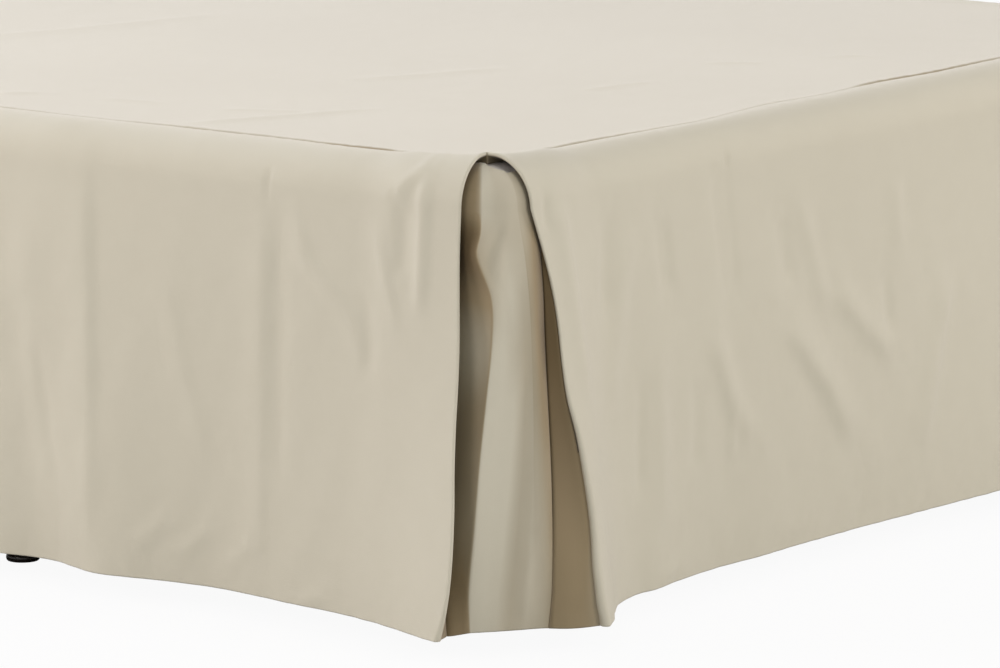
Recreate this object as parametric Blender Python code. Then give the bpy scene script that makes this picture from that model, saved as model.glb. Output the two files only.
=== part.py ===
"""A bed skirt over a plain bed base: deck, three drops with corner pleats, base, legs and glides.

The foot end faces -Y and the open head end faces +Y. Places near a foot corner are worked out in
two distances, u in from the side's plane and v in from the foot's plane, both in metres.
"""

import math

import bmesh
import bpy
from mathutils import Vector

# Driving dimensions, in metres.
SKIRT_WIDTH = 1.400
SKIRT_LENGTH = 2.000
SHIFT_Y = 0.041
HEM_HEIGHT = 0.025
CLOTH = 0.0020
EASE = 0.005
LAYER = 0.0032
STANDOFF = 0.003
GAP = 0.0003

BASE_TOP = 0.472
BASE_BOTTOM = 0.190
EDGE_RADIUS = 0.040
CORNER_RADIUS = 0.050

LEG_IN_FROM_SIDE = 0.071
LEG_IN_FROM_FOOT = 0.662
LEG_RADIUS = 0.0125
GLIDE_RADIUS = 0.0175
GLIDE_HEIGHT = 0.016

SEAM_INSET = EASE + EDGE_RADIUS
SHOULDER_Z = BASE_TOP - EDGE_RADIUS
HEAD_HEM = SKIRT_LENGTH - 0.015

# The drop's outward sweep at the hem: distance from the foot corner, distance out from the side's
# plane.
SIDE_SWEEP = (
    (0.010, 0.076),
    (0.018, 0.074),
    (0.044, 0.066),
    (0.111, 0.042),
    (0.172, 0.027),
    (0.255, 0.016),
    (0.340, 0.005),
    (0.412, 0.011),
    (0.482, 0.022),
    (0.516, 0.013),
    (0.556, -0.001),
    (0.586, -0.002),
    (0.629, 0.004),
    (0.740, 0.013),
    (0.880, 0.004),
    (1.040, 0.015),
    (1.210, 0.005),
    (1.390, 0.014),
    (1.560, 0.004),
    (1.730, 0.012),
    (1.870, 0.005),
    (2.000, 0.009),
)

# The foot drop's sweep at the hem, from its left corner to its right one.
FOOT_SWEEP = (
    (0.060, 0.079),
    (0.078, 0.077),
    (0.106, 0.064),
    (0.136, 0.043),
    (0.173, 0.023),
    (0.216, 0.011),
    (0.258, 0.011),
    (0.301, 0.005),
    (0.378, 0.001),
    (0.445, 0.004),
    (0.518, 0.003),
    (0.662, 0.006),
    (0.805, 0.013),
    (0.930, 0.016),
    (1.020, 0.006),
    (1.130, 0.012),
    (1.215, 0.020),
    (1.264, 0.041),
    (1.294, 0.062),
    (1.322, 0.077),
    (1.340, 0.079),
)

# The folded edges of a corner pleat, from the shoulder (0) to the hem (1): level, distance from the
# corner.
SIDE_FOLD = (
    (0.00, 0.0410),
    (0.10, 0.0380),
    (0.20, 0.0333),
    (0.30, 0.0280),
    (0.40, 0.0245),
    (0.50, 0.0220),
    (0.60, 0.0182),
    (0.70, 0.0128),
    (0.80, 0.0092),
    (0.87, 0.0086),
    (0.93, 0.0108),
    (1.00, 0.0178),
)
FOOT_FOLD = (
    (0.00, 0.0500),
    (0.10, 0.0595),
    (0.20, 0.0648),
    (0.28, 0.0660),
    (0.38, 0.0640),
    (0.46, 0.0648),
    (0.55, 0.0722),
    (0.65, 0.0750),
    (0.74, 0.0762),
    (0.80, 0.0737),
    (0.86, 0.0698),
    (0.94, 0.0706),
    (1.00, 0.0777),
)
SEAM_FOLD = 0.0471

# How softly each folded edge rolls over: level, radius of the roll.
SIDE_ROLL = ((0.00, 0.0016), (0.80, 0.0017), (0.92, 0.0022), (1.00, 0.0038))
FOOT_ROLL = ((0.00, 0.0016), (0.35, 0.0017), (0.50, 0.0028), (0.70, 0.0042), (1.00, 0.0060))

# The insert of a corner pleat, a row for each level from the shoulder (0) to the hem (1): level,
# and in u and v its hidden edge by the side, its bend, its crest by the side, its middle, its crest
# by the foot, its bend and its hidden edge by the foot.
PLEAT = (
    (0.00, (0.0015, 0.0980), (0.0015, 0.0520), (0.0105, 0.0257), (0.0300, 0.0074),
     (0.0504, 0.0022), (0.0780, 0.0020), (0.1060, 0.0020)),
    (0.05, (0.0015, 0.0980), (0.0015, 0.0520), (0.0045, 0.0225), (0.0306, 0.0040),
     (0.0485, -0.0030), (0.0790, 0.0005), (0.1060, 0.0020)),
    (0.10, (0.0015, 0.0980), (0.0015, 0.0515), (-0.0034, 0.0214), (0.0306, -0.0010),
     (0.0447, -0.0098), (0.0800, -0.0010), (0.1060, 0.0020)),
    (0.20, (0.0015, 0.0980), (0.0010, 0.0520), (-0.0005, 0.0057), (0.0263, -0.0103),
     (0.0378, -0.0199), (0.0820, -0.0020), (0.1050, 0.0020)),
    (0.30, (0.0015, 0.0980), (0.0010, 0.0535), (-0.0023, 0.0031), (0.0265, -0.0139),
     (0.0359, -0.0232), (0.0760, -0.0080), (0.1020, 0.0010)),
    (0.45, (0.0010, 0.0970), (0.0005, 0.0560), (-0.0100, 0.0051), (0.0244, -0.0145),
     (0.0377, -0.0281), (0.0621, -0.0199), (0.0980, -0.0060)),
    (0.60, (0.0000, 0.0960), (-0.0030, 0.0580), (-0.0166, 0.0081), (0.0214, -0.0129),
     (0.0386, -0.0311), (0.0599, -0.0253), (0.0960, -0.0140)),
    (0.75, (-0.0060, 0.0920), (-0.0130, 0.0560), (-0.0211, 0.0108), (0.0169, -0.0093),
     (0.0387, -0.0329), (0.0562, -0.0305), (0.0960, -0.0220)),
    (0.90, (-0.0200, 0.0840), (-0.0290, 0.0400), (-0.0242, 0.0150), (0.0113, -0.0060),
     (0.0396, -0.0316), (0.0511, -0.0337), (0.0950, -0.0300)),
    (1.00, (-0.0360, 0.0720), (-0.0420, 0.0265), (-0.0215, 0.0160), (0.0068, -0.0058),
     (0.0385, -0.0275), (0.0477, -0.0324), (0.0930, -0.0370)),
)

# The same seven places at the seam on the deck, and how far each hangs below the drops' hem.
SEAM_PLEAT = (
    (0.0450, 0.1050),
    (0.0450, 0.0570),
    (0.0445, 0.0500),
    (0.0436, 0.0436),
    (0.0520, 0.0445),
    (0.0750, 0.0450),
    (0.1050, 0.0450),
)
INSERT_SAG = (0.005, 0.001, 0.0, 0.0, 0.0, 0.001, 0.005)

# How softly the insert turns at the five places between its hidden edges.
INSERT_TURNS = (0.007, 0.003, 0.014, 0.012, 0.009)

# How far the return lies from the insert at its bend, at its hidden edge and by its crest.
SIDE_WALL = (-0.0032, 0.0008)
FOOT_WALL = (0.0014, -0.0038)
SIDE_APART = (-0.0031, 0.0)
FOOT_APART = (0.0, -0.0042)
FOOT_MEET = (0.0010, -0.0050)
FOOT_MEETING = 0.52

# Soft creases in a drop: distance from its corner at the shoulder and at the hem, the levels it
# starts and ends at, its half width and its height outwards (below 0 for a trough).
SIDE_CREASES = (
    (0.530, 0.505, -0.20, 1.10, 0.022, 0.006),
    (0.105, 0.090, 0.00, 0.45, 0.014, 0.005),
    (0.760, 0.735, 0.00, 1.10, 0.030, 0.006),
    (1.180, 1.215, 0.00, 1.10, 0.035, -0.005),
    (1.600, 1.560, 0.20, 1.10, 0.035, -0.004),
)
FOOT_CREASES = (
    (0.105, 0.150, -0.10, 0.60, 0.016, 0.006),
    (0.280, 0.330, 0.00, 0.55, 0.018, 0.004),
    (0.400, 0.520, 0.25, 0.85, 0.020, 0.005),
    (0.700, 0.640, 0.20, 1.00, 0.022, 0.004),
    (1.050, 1.020, 0.00, 1.10, 0.030, -0.004),
    (1.290, 1.250, -0.10, 0.60, 0.016, 0.005),
)

SHOULDER_ROWS = 5
HANG_LEVELS = (0.0, 0.12, 0.25, 0.38, 0.52, 0.66, 0.80, 0.90, 1.0)
FOLD_STEPS = 6


def curve_at(rows, x):
    """A smooth curve through rows of (x, value), flat beyond its ends."""
    if x <= rows[0][0]:
        return rows[0][1]
    if x >= rows[-1][0]:
        return rows[-1][1]
    last = len(rows) - 1
    slopes = []
    for i in range(len(rows)):
        before = rows[max(i - 1, 0)]
        after = rows[min(i + 1, last)]
        slopes.append((after[1] - before[1]) / (after[0] - before[0]))
    i = max(k for k in range(last) if rows[k][0] <= x)
    (x0, y0), (x1, y1) = rows[i], rows[i + 1]
    span = x1 - x0
    t = (x - x0) / span
    rise = (y1 - y0) * (3 - 2 * t) * t * t
    return y0 + rise + span * t * (1 - t) * (slopes[i] * (1 - t) - slopes[i + 1] * t)


def pleat_at(knot, level):
    """Where one of the insert's seven places is, at a level."""
    columns = ([(row[0], row[1 + knot][axis]) for row in PLEAT] for axis in (0, 1))
    return tuple(curve_at(column, level) for column in columns)


def ease_between(x, low, high):
    """0 up to low, 1 from high, smooth between."""
    t = min(max((x - low) / (high - low), 0.0), 1.0)
    return t * t * (3 - 2 * t)


def lift_at(run):
    """How far the pleat's layers lift the drop, at a distance from the nearest foot corner."""
    return 2 * LAYER * (1 - ease_between(run, 0.110, 0.170))


def crease_at(creases, run, level):
    """The creases' height at a place on the drop."""
    total = 0.0
    for top, low, start, end, half_width, height in creases:
        across = (run - (top + (low - top) * level)) / half_width
        fade = ease_between(level, start, start + 0.25) * (1 - ease_between(level, end - 0.2, end))
        total += height * fade * math.exp(-across * across)
    return total


def hang_out(sweep, creases, run, corner_run, level):
    """How far the drop stands out from its side's plane."""
    rest = lift_at(corner_run) - (EASE - STANDOFF)
    depth = level ** (1.0 + 0.35 * ease_between(corner_run, 0.12, 0.30))
    swept = rest + (curve_at(sweep, run) - rest) * depth
    return swept + max(crease_at(creases, run, level), -0.5 * swept - 0.0005)


class Row:
    """A row of a sheet: a turn over the shoulder (0 at the seam to 1) or a level of the hang."""

    def __init__(self, turn, level):
        self.turn = turn
        self.level = level


def sheet_rows():
    """The rows of every sheet, from its seam to its hem."""
    rows = [Row(k / SHOULDER_ROWS, 0.0) for k in range(SHOULDER_ROWS)]
    return rows + [Row(1.0, level) for level in HANG_LEVELS]


def between(a, b, t):
    return tuple(p + (q - p) * t for p, q in zip(a, b))


def over_shoulder(row, seam, shoulder, radius):
    """Plan place and height of a point that goes from the seam over the shoulder."""
    angle = row.turn * math.pi / 2
    u, v = between(seam, shoulder, math.sin(angle))
    return u, v, SHOULDER_Z + radius * math.cos(angle)


def height_at(level, sag=0.0):
    return SHOULDER_Z - level * (SHOULDER_Z - HEM_HEIGHT + sag)


def side_point(row, run):
    """A point of a side drop, at a distance from its foot corner."""
    radius = EDGE_RADIUS + STANDOFF + lift_at(run)
    if row.turn < 1.0:
        out = hang_out(SIDE_SWEEP, SIDE_CREASES, run, run, 0.0)
        return over_shoulder(row, (SEAM_INSET, run), (-out, run), radius)
    return -hang_out(SIDE_SWEEP, SIDE_CREASES, run, run, row.level), run, height_at(row.level)


def foot_point(row, run):
    """A point of the foot drop, at a distance from its left corner."""
    corner_run = min(run, SKIRT_WIDTH - run)
    radius = EDGE_RADIUS + STANDOFF + lift_at(corner_run)
    if row.turn < 1.0:
        out = hang_out(FOOT_SWEEP, FOOT_CREASES, run, corner_run, 0.0)
        return over_shoulder(row, (run, SEAM_INSET), (run, -out), radius)
    out = hang_out(FOOT_SWEEP, FOOT_CREASES, run, corner_run, row.level)
    return run, -out, height_at(row.level)


def fold_run(row, column):
    """The fold edge's distance from the corner, at a row."""
    shoulder = curve_at(column, 0.0)
    if row.turn < 1.0:
        return SEAM_FOLD + (shoulder - SEAM_FOLD) * math.sin(row.turn * math.pi / 2)
    return curve_at(column, row.level)


def insert_point(row, knot, apart=(0.0, 0.0), outward=0.0):
    """One of the insert's seven places at a row, or a place of the return apart from it."""
    level = row.level if row.turn == 1.0 else 0.0
    u, v = pleat_at(knot, level)
    u, v = u + apart[0], v + apart[1]
    if row.turn < 1.0:
        radius = EDGE_RADIUS + STANDOFF + outward
        return Vector(over_shoulder(row, SEAM_PLEAT[knot], (u, v), radius))
    return Vector((u, v, height_at(row.level, INSERT_SAG[knot])))


def fold_and_return(edge, ahead, radius, way):
    """The roll of the folded edge, from the drop's last point, and the return behind the drop."""
    inward = way[0] - edge
    inward = (inward - ahead * inward.dot(ahead)).normalized()
    centre = edge + inward * radius
    points = []
    for k in range(1, FOLD_STEPS + 1):
        angle = math.pi * k / FOLD_STEPS
        points.append(centre - inward * radius * math.cos(angle) + ahead * radius * math.sin(angle))
    return points + [points[-1].lerp(way[0], 0.5)] + way


def side_end(row, first, radius):
    """The folded edge and the return of a side drop."""
    edge = Vector(side_point(row, first))
    ahead = (edge - Vector(side_point(row, first + LAYER))).normalized()
    outward = LAYER * 0.75
    wall = insert_point(row, 1, SIDE_WALL, outward)
    inner = insert_point(row, 0, SIDE_APART, outward)
    return fold_and_return(edge, ahead, radius, [wall, wall.lerp(inner, 0.5), inner])


def foot_end(row, first, radius, turn):
    """The folded edge and return of the foot drop, at its left corner or turned to its right."""
    edge = Vector(foot_point(row, turn(first)))
    ahead = (edge - Vector(foot_point(row, turn(first + LAYER)))).normalized()
    outward = LAYER * 0.75
    bend = insert_point(row, 5, FOOT_WALL, outward)
    inner = insert_point(row, 6, FOOT_APART, outward)
    crest = insert_point(row, 4, FOOT_MEET, outward)
    past = bend + (inner - bend).normalized() * INSERT_TURNS[4]
    way = [crest.lerp(bend, FOOT_MEETING), past, bend.lerp(inner, 0.6), inner]
    return fold_and_return(edge, ahead, radius, [Vector((turn(p.x), p.y, p.z)) for p in way])


def as_left(u):
    return u


def as_right(u):
    return SKIRT_WIDTH - u


def near_runs(first, free):
    """Distances from a folded edge to where the drop's even spacing starts."""
    return [first + (free - first) * t for t in (0.0, 0.08, 0.22, 0.42, 0.68)]


def even_runs(start, end, step):
    count = round((end - start) / step)
    return [start + (end - start) * k / count for k in range(count + 1)]


def side_columns():
    """A side drop's columns, from its head hem to the end of its return."""
    far = even_runs(0.72, HEAD_HEM, 0.079)[::-1]
    near = even_runs(0.15, 0.69, 0.036)[::-1]
    rows = []
    for row in sheet_rows():
        radius = curve_at(SIDE_ROLL, row.level)
        first = fold_run(row, SIDE_FOLD) + radius
        points = [Vector(side_point(row, run)) for run in far + near + near_runs(first, 0.15)[::-1]]
        rows.append(points + side_end(row, first, radius))
    return rows


def foot_columns():
    """The foot drop's columns, with a return at both ends."""
    middle = even_runs(0.18, SKIRT_WIDTH - 0.18, 0.037)
    rows = []
    for row in sheet_rows():
        radius = curve_at(FOOT_ROLL, row.level)
        first = fold_run(row, FOOT_FOLD) + radius
        near = near_runs(first, 0.18)
        left = foot_end(row, first, radius, as_left)
        points = [Vector(foot_point(row, run)) for run in near + middle]
        far = [Vector(foot_point(row, SKIRT_WIDTH - run)) for run in near[::-1]]
        rows.append(left[::-1] + points + far + foot_end(row, first, radius, as_right))
    return rows


def rounded(knots, turns):
    """Points along a line through the knots, with each inner knot turned softly."""
    points = [knots[0], knots[0].lerp(knots[1], 0.5)]
    for before, knot, after, turn in zip(knots, knots[1:], knots[2:], turns):
        into, out = before - knot, after - knot
        start = knot + into.normalized() * min(turn, into.length * 0.48)
        end = knot + out.normalized() * min(turn, out.length * 0.48)
        points += [start, (start + 2 * knot + end) / 4, end]
    return points + [knots[-2].lerp(knots[-1], 0.6), knots[-1]]


def insert_columns():
    """A pleat insert's columns, from its hidden edge by the side to the one by the foot."""
    return [
        rounded([insert_point(row, knot) for knot in range(len(SEAM_PLEAT))], INSERT_TURNS)
        for row in sheet_rows()
    ]


def in_place(point, side):
    """A corner's u, v and height as x, y, z, for the left (-1) or the right (+1) corner."""
    x = side * (SKIRT_WIDTH / 2 - point.x)
    return Vector((x, point.y - SKIRT_LENGTH / 2 + SHIFT_Y, point.z))


def material(name, colour, roughness, metallic=0.0):
    made = bpy.data.materials.new(name)
    made.use_nodes = True
    shader = made.node_tree.nodes["Principled BSDF"]
    shader.inputs["Base Color"].default_value = (*colour, 1.0)
    shader.inputs["Roughness"].default_value = roughness
    shader.inputs["Metallic"].default_value = metallic
    return made


def add_object(name, bm, finish, smooth_angle=None):
    """A finished mesh as an object of the scene."""
    bmesh.ops.recalc_face_normals(bm, faces=bm.faces)
    mesh = bpy.data.meshes.new(name)
    bm.to_mesh(mesh)
    bm.free()
    if smooth_angle is not None:
        mesh.shade_smooth()
        mesh.set_sharp_from_angle(angle=math.radians(smooth_angle))
    obj = bpy.data.objects.new(name, mesh)
    obj.data.materials.append(finish)
    bpy.context.scene.collection.objects.link(obj)
    return obj


def add_cloth(name, rows, side, finish):
    """A sheet through rows of points, thickened to both sides."""
    bm = bmesh.new()
    grid = [[bm.verts.new(in_place(point, side)) for point in row] for row in rows]
    for upper, lower in zip(grid, grid[1:]):
        for i in range(len(upper) - 1):
            bm.faces.new((upper[i], upper[i + 1], lower[i + 1], lower[i]))
    obj = add_object(name, bm, finish, smooth_angle=60)
    thick = obj.modifiers.new("cloth", "SOLIDIFY")
    thick.thickness = CLOTH
    thick.offset = 0.0
    return obj


def add_deck(finish):
    """The panel that lies on the base, from the foot seam to its hem at the head end."""
    edge = SEAM_INSET + GAP
    low = in_place(Vector((edge, edge, BASE_TOP + GAP)), -1)
    high = in_place(Vector((edge, SKIRT_LENGTH - SEAM_INSET, BASE_TOP + GAP + CLOTH)), 1)
    bm = bmesh.new()
    bmesh.ops.create_cube(bm, size=1.0)
    bmesh.ops.scale(bm, vec=high - low, verts=bm.verts)
    bmesh.ops.translate(bm, vec=(high + low) / 2, verts=bm.verts)
    return add_object("deck", bm, finish)


def add_base(finish):
    """The box base, its upright corners and its top edge rounded."""
    size = Vector((SKIRT_WIDTH - 2 * EASE, SKIRT_LENGTH - 2 * EASE, BASE_TOP - BASE_BOTTOM))
    bm = bmesh.new()
    bmesh.ops.create_cube(bm, size=1.0)
    bmesh.ops.scale(bm, vec=size, verts=bm.verts)
    bmesh.ops.translate(bm, vec=(0, SHIFT_Y, BASE_BOTTOM + size.z / 2), verts=bm.verts)
    upright = [e for e in bm.edges if abs(e.verts[0].co.z - e.verts[1].co.z) > size.z / 2]
    bmesh.ops.bevel(
        bm, geom=upright, offset=CORNER_RADIUS, segments=8, profile=0.5, affect="EDGES"
    )
    top = max(bm.faces, key=lambda f: f.calc_center_median().z)
    bmesh.ops.bevel(
        bm, geom=list(top.edges), offset=EDGE_RADIUS, segments=6, profile=0.5, affect="EDGES"
    )
    return add_object("bed_base", bm, finish, smooth_angle=40)


def add_turned(name, profile, place, finish):
    """A turned piece from its profile of (radius, height), standing at a place."""
    steps = 16
    bm = bmesh.new()
    rings = []
    for radius, height in profile:
        ring = []
        for k in range(steps):
            angle = 2 * math.pi * k / steps
            ring.append(bm.verts.new((radius * math.cos(angle), radius * math.sin(angle), height)))
        rings.append(ring)
    for lower, upper in zip(rings, rings[1:]):
        for k in range(steps):
            after = (k + 1) % steps
            bm.faces.new((lower[k], lower[after], upper[after], upper[k]))
    bm.faces.new(rings[0][::-1])
    bm.faces.new(rings[-1])
    obj = add_object(name, bm, finish, smooth_angle=40)
    obj.location = place
    return obj


def leg_places():
    """Where the legs stand, the two by the foot first."""
    places = []
    for run in (LEG_IN_FROM_FOOT, SKIRT_LENGTH - LEG_IN_FROM_FOOT):
        for side in (-1, 1):
            places.append(in_place(Vector((LEG_IN_FROM_SIDE, run, 0.0)), side))
    return places


LEG_PROFILE = ((LEG_RADIUS, GLIDE_HEIGHT + GAP), (LEG_RADIUS, BASE_BOTTOM - GAP))
GLIDE_PROFILE = (
    (GLIDE_RADIUS * 0.90, 0.000),
    (GLIDE_RADIUS * 0.98, 0.0012),
    (GLIDE_RADIUS, 0.004),
    (GLIDE_RADIUS * 0.96, 0.0075),
    (GLIDE_RADIUS * 0.80, 0.0105),
    (GLIDE_RADIUS * 0.50, 0.0125),
    (GLIDE_RADIUS * 0.40, 0.0140),
    (GLIDE_RADIUS * 0.40, GLIDE_HEIGHT),
)


def build():
    for obj in list(bpy.data.objects):
        bpy.data.objects.remove(obj)
    cotton = material("cotton", (0.58, 0.53, 0.43), 0.9)
    ticking = material("base_cover", (0.62, 0.60, 0.55), 0.9)
    steel = material("leg_steel", (0.06, 0.055, 0.05), 0.4, 0.8)
    bell = material("glide_gloss", (0.03, 0.022, 0.018), 0.15)

    add_deck(cotton)
    add_cloth("side_drop_left", side_columns(), -1, cotton)
    add_cloth("side_drop_right", side_columns(), 1, cotton)
    add_cloth("foot_drop", foot_columns(), -1, cotton)
    add_cloth("pleat_insert_left", insert_columns(), -1, cotton)
    add_cloth("pleat_insert_right", insert_columns(), 1, cotton)
    add_base(ticking)
    for number, place in enumerate(leg_places(), start=1):
        add_turned(f"leg_{number}", LEG_PROFILE, place, steel)
        add_turned(f"glide_{number}", GLIDE_PROFILE, place, bell)


build()
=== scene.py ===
"""Looks of a bed skirt over its plain base: deck, drops, corner pleats, base, legs and glides.

The foot end faces -Y and the open head end +Y. Places near a foot corner are worked out in two
distances, u in from the side's plane and v in from the foot's plane. Every size is in metres.
"""

import math

import bmesh
import bpy
from bpy.props import FloatProperty, FloatVectorProperty, PointerProperty
from bpy.types import Operator, Panel, PropertyGroup
from mathutils import Matrix, Vector, noise


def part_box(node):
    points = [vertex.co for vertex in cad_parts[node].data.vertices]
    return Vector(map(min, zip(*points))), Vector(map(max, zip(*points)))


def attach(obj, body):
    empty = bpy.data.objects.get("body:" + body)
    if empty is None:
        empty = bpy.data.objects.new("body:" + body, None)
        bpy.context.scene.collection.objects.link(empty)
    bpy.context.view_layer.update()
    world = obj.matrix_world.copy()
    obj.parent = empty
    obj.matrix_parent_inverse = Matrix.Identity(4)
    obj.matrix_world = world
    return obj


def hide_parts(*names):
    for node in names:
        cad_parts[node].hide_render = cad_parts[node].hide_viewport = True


bl_info = {
    "name": "Bed Skirt",
    "version": (1, 0, 0),
    "blender": (4, 5, 0),
    "location": "View3D > Sidebar > Bed Skirt",
    "description": "Dresses a bed base with a corner-pleated skirt",
    "category": "Add Mesh",
}

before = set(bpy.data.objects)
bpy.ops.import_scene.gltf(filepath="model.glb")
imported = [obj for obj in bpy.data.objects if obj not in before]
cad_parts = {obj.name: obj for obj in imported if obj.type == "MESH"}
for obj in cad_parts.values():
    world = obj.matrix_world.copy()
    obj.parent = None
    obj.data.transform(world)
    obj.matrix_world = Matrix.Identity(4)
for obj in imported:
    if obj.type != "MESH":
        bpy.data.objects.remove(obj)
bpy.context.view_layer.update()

BASE_LOW, BASE_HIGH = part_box("bed_base")
GLIDE_LOW, GLIDE_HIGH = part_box("glide_1")
LEG_LOW, LEG_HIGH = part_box("leg_1")
FEET = ("1", "2", "3", "4")

# How the skirt sits on its base: its place along the bed, how far its drops' planes stand out from
# the base and how close a crease may come, the cloth's distance from the base and from its next
# layer, at the seam and away from it, the width over which the one grows to the other, and the
# arc's radius.
SHIFT_Y = 0.041
EASE = 0.005
EASE_LIMIT = -EASE + 0.0014
STANDOFF = 0.003
SEAM_STANDOFF = 0.0022
LAYER = 0.0032
SEAM_LAYER = 0.0009
SEAM_RISE = 0.012
ARC_RADIUS = 0.0433

# The deck: how far in its seams lie, its hem at the head end, its height above the base and its
# least height, its underside's, and the seam allowance that lifts it beside the seam.
SEAM_INSET = 0.045
HEAD_HEM = 0.015
DECK_HEIGHT = 0.0011
DECK_LEAST = 0.0006
DECK_UNDERSIDE = 0.0002
SEAM_PAD = 0.0004
SEAM_STEP = 0.0009

# Distances from a foot corner between which the returns' layers end, the seams start to wander and
# the drops start to hang free, and how much later a free drop sweeps out.
RETURN_END = (0.110, 0.170)
SEAM_WANDER = (0.07, 0.15)
FREE_HANG = (0.12, 0.30)
FREE_SWEEP = 0.35

# Distances from a drop's seam between which its creases set in, and from the deck's seam between
# which the lifted cloth comes down to the base, how much further it does so by the corner, and
# where the seam no longer counts.
SEAM_FLAT = (0.002, 0.020)
DECK_FADE = (0.003, 0.020)
DECK_FADE_CORNER = 0.022
DECK_LIFTED = 0.06

# The seams' folded corner: the reach of the gap under it, and its height and reach.
CORNER_GAP_REACH = 0.026
APEX_LIFT = 0.0032
APEX_REACH = 0.036

# The seams' groove: its depth and width, and the depth and width of the shade painted along it.
SEAM_DEPTH = 0.0014
GROOVE_WIDTH = 0.0013
SEAM_SHADE = 0.85
SEAM_SHADE_WIDTH = 0.0022

# Small gathers beside a seam: height, width of the gathered strip, where they start, and their
# length along and across the seam.
PUCKER = 0.0007
PUCKER_WIDTH = 0.012
PUCKER_START = 0.003
PUCKER_LENGTHS = (0.011, 0.03)

# The rows of a sheet: their angles over the shoulder, the step between them in the hang, and their
# heights above the fold of the hem. The hem's thickness sets in just below and above its width.
SHOULDER_ANGLES = (
    (0.0, 0.015, 0.032, 0.055, 0.085, 0.12, 0.16, 0.21, 0.27, 0.34, 0.42)
    + (0.51, 0.62, 0.74, 0.87, 1.00, 1.13, 1.26, 1.38, 1.48)
)
ROW_STEP = 0.0052
HEM_STEPS = (0.0145, 0.0130, 0.0118, 0.0105, 0.0080, 0.0050, 0.0025, 0.0008, 0.0)
HEM_EDGE = (0.0006, 0.0010)

# The columns of a drop: closer together from the folded edge to NEAR_END, then a fine step up to
# one distance from the corner and a coarse step from another.
NEAR_END = 0.170
NEAR_COUNT = 38
NEAR_POWER = 1.35
FINE_STEP = 0.0045
SIDE_FINE_END, SIDE_COARSE_START, SIDE_COARSE_STEP = 0.715, 0.72, 0.0105
FOOT_FINE_END, FOOT_COARSE_START, FOOT_COARSE_STEP = 1.02, 1.03, 0.008

# The columns of a fold and its return, and of the insert's straight stretches and turns.
FOLD_STEPS, WALL_STEPS, RETURN_STEPS = 10, 9, 3
STRAIGHT_STEPS, TURN_STEPS = 7, 8

# The deck's lines: their distances from its edge, where the fine step ends across and along the
# bed, and the steps.
EDGE_STEPS = (0.0, 0.0005, 0.0011, 0.0018, 0.0027, 0.0038, 0.0055, 0.0078, 0.0110, 0.0150)
DECK_FINE_ENDS = (1.17, 1.10)
DECK_FINE_STEP = 0.0052
DECK_COARSE_STEPS = (0.011, 0.012)

# The deck's edge, ring by ring: how far below the upper face, and the shade painted on it.
DECK_RIM = ((0.0007, 0.9), (0.0012, 0.1), (1.0, 0.0))

# The drop's outward sweep at the hem: distance from the foot corner, distance out from the side's
# plane.
SIDE_SWEEP = (
    (0.010, 0.076),
    (0.018, 0.074),
    (0.044, 0.066),
    (0.111, 0.042),
    (0.172, 0.027),
    (0.255, 0.016),
    (0.340, 0.005),
    (0.412, 0.011),
    (0.482, 0.022),
    (0.516, 0.013),
    (0.556, -0.001),
    (0.586, -0.002),
    (0.629, 0.004),
    (0.740, 0.013),
    (0.880, 0.004),
    (1.040, 0.015),
    (1.210, 0.005),
    (1.390, 0.014),
    (1.560, 0.004),
    (1.730, 0.012),
    (1.870, 0.005),
    (2.000, 0.009),
)

# The foot drop's sweep at the hem, from its left corner to its right one.
FOOT_SWEEP = (
    (0.060, 0.079),
    (0.078, 0.077),
    (0.106, 0.064),
    (0.136, 0.043),
    (0.173, 0.023),
    (0.216, 0.011),
    (0.258, 0.011),
    (0.301, 0.005),
    (0.378, 0.001),
    (0.445, 0.004),
    (0.518, 0.003),
    (0.662, 0.006),
    (0.805, 0.013),
    (0.930, 0.016),
    (1.020, 0.006),
    (1.130, 0.012),
    (1.215, 0.020),
    (1.264, 0.041),
    (1.294, 0.062),
    (1.322, 0.077),
    (1.340, 0.079),
)

# How far the deck seam wanders from its even inset: distance from the corner, distance further in.
SIDE_SEAM = (
    (0.05, 0.000),
    (0.163, 0.004),
    (0.216, 0.003),
    (0.295, 0.007),
    (0.370, 0.006),
    (0.447, 0.006),
    (0.540, 0.002),
    (0.700, 0.005),
    (0.900, 0.001),
    (1.150, 0.005),
    (1.450, 0.002),
    (1.750, 0.005),
    (2.000, 0.002),
)
FOOT_SEAM = (
    (0.05, 0.000),
    (0.165, 0.003),
    (0.237, 0.002),
    (0.331, -0.003),
    (0.403, -0.006),
    (0.470, 0.001),
    (0.533, 0.006),
    (0.630, 0.000),
    (0.726, 0.006),
    (0.827, 0.000),
    (0.950, 0.003),
    (1.100, -0.002),
    (1.350, 0.000),
)

# How open the deck seam's groove is: distance from the corner, share of its full depth.
SIDE_GROOVE = (
    (0.10, 0.00),
    (0.15, 0.30),
    (0.17, 1.00),
    (0.22, 1.00),
    (0.26, 0.55),
    (0.40, 0.55),
    (0.47, 0.40),
    (0.54, 0.15),
    (0.70, 0.30),
    (1.20, 0.40),
    (2.00, 0.40),
)
FOOT_GROOVE = (
    (0.12, 0.00),
    (0.16, 0.55),
    (0.25, 0.60),
    (0.33, 0.25),
    (0.55, 0.15),
    (0.68, 0.20),
    (0.72, 0.80),
    (0.85, 1.00),
    (0.95, 0.70),
    (1.10, 0.40),
    (1.26, 0.20),
    (1.30, 0.00),
)

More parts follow.
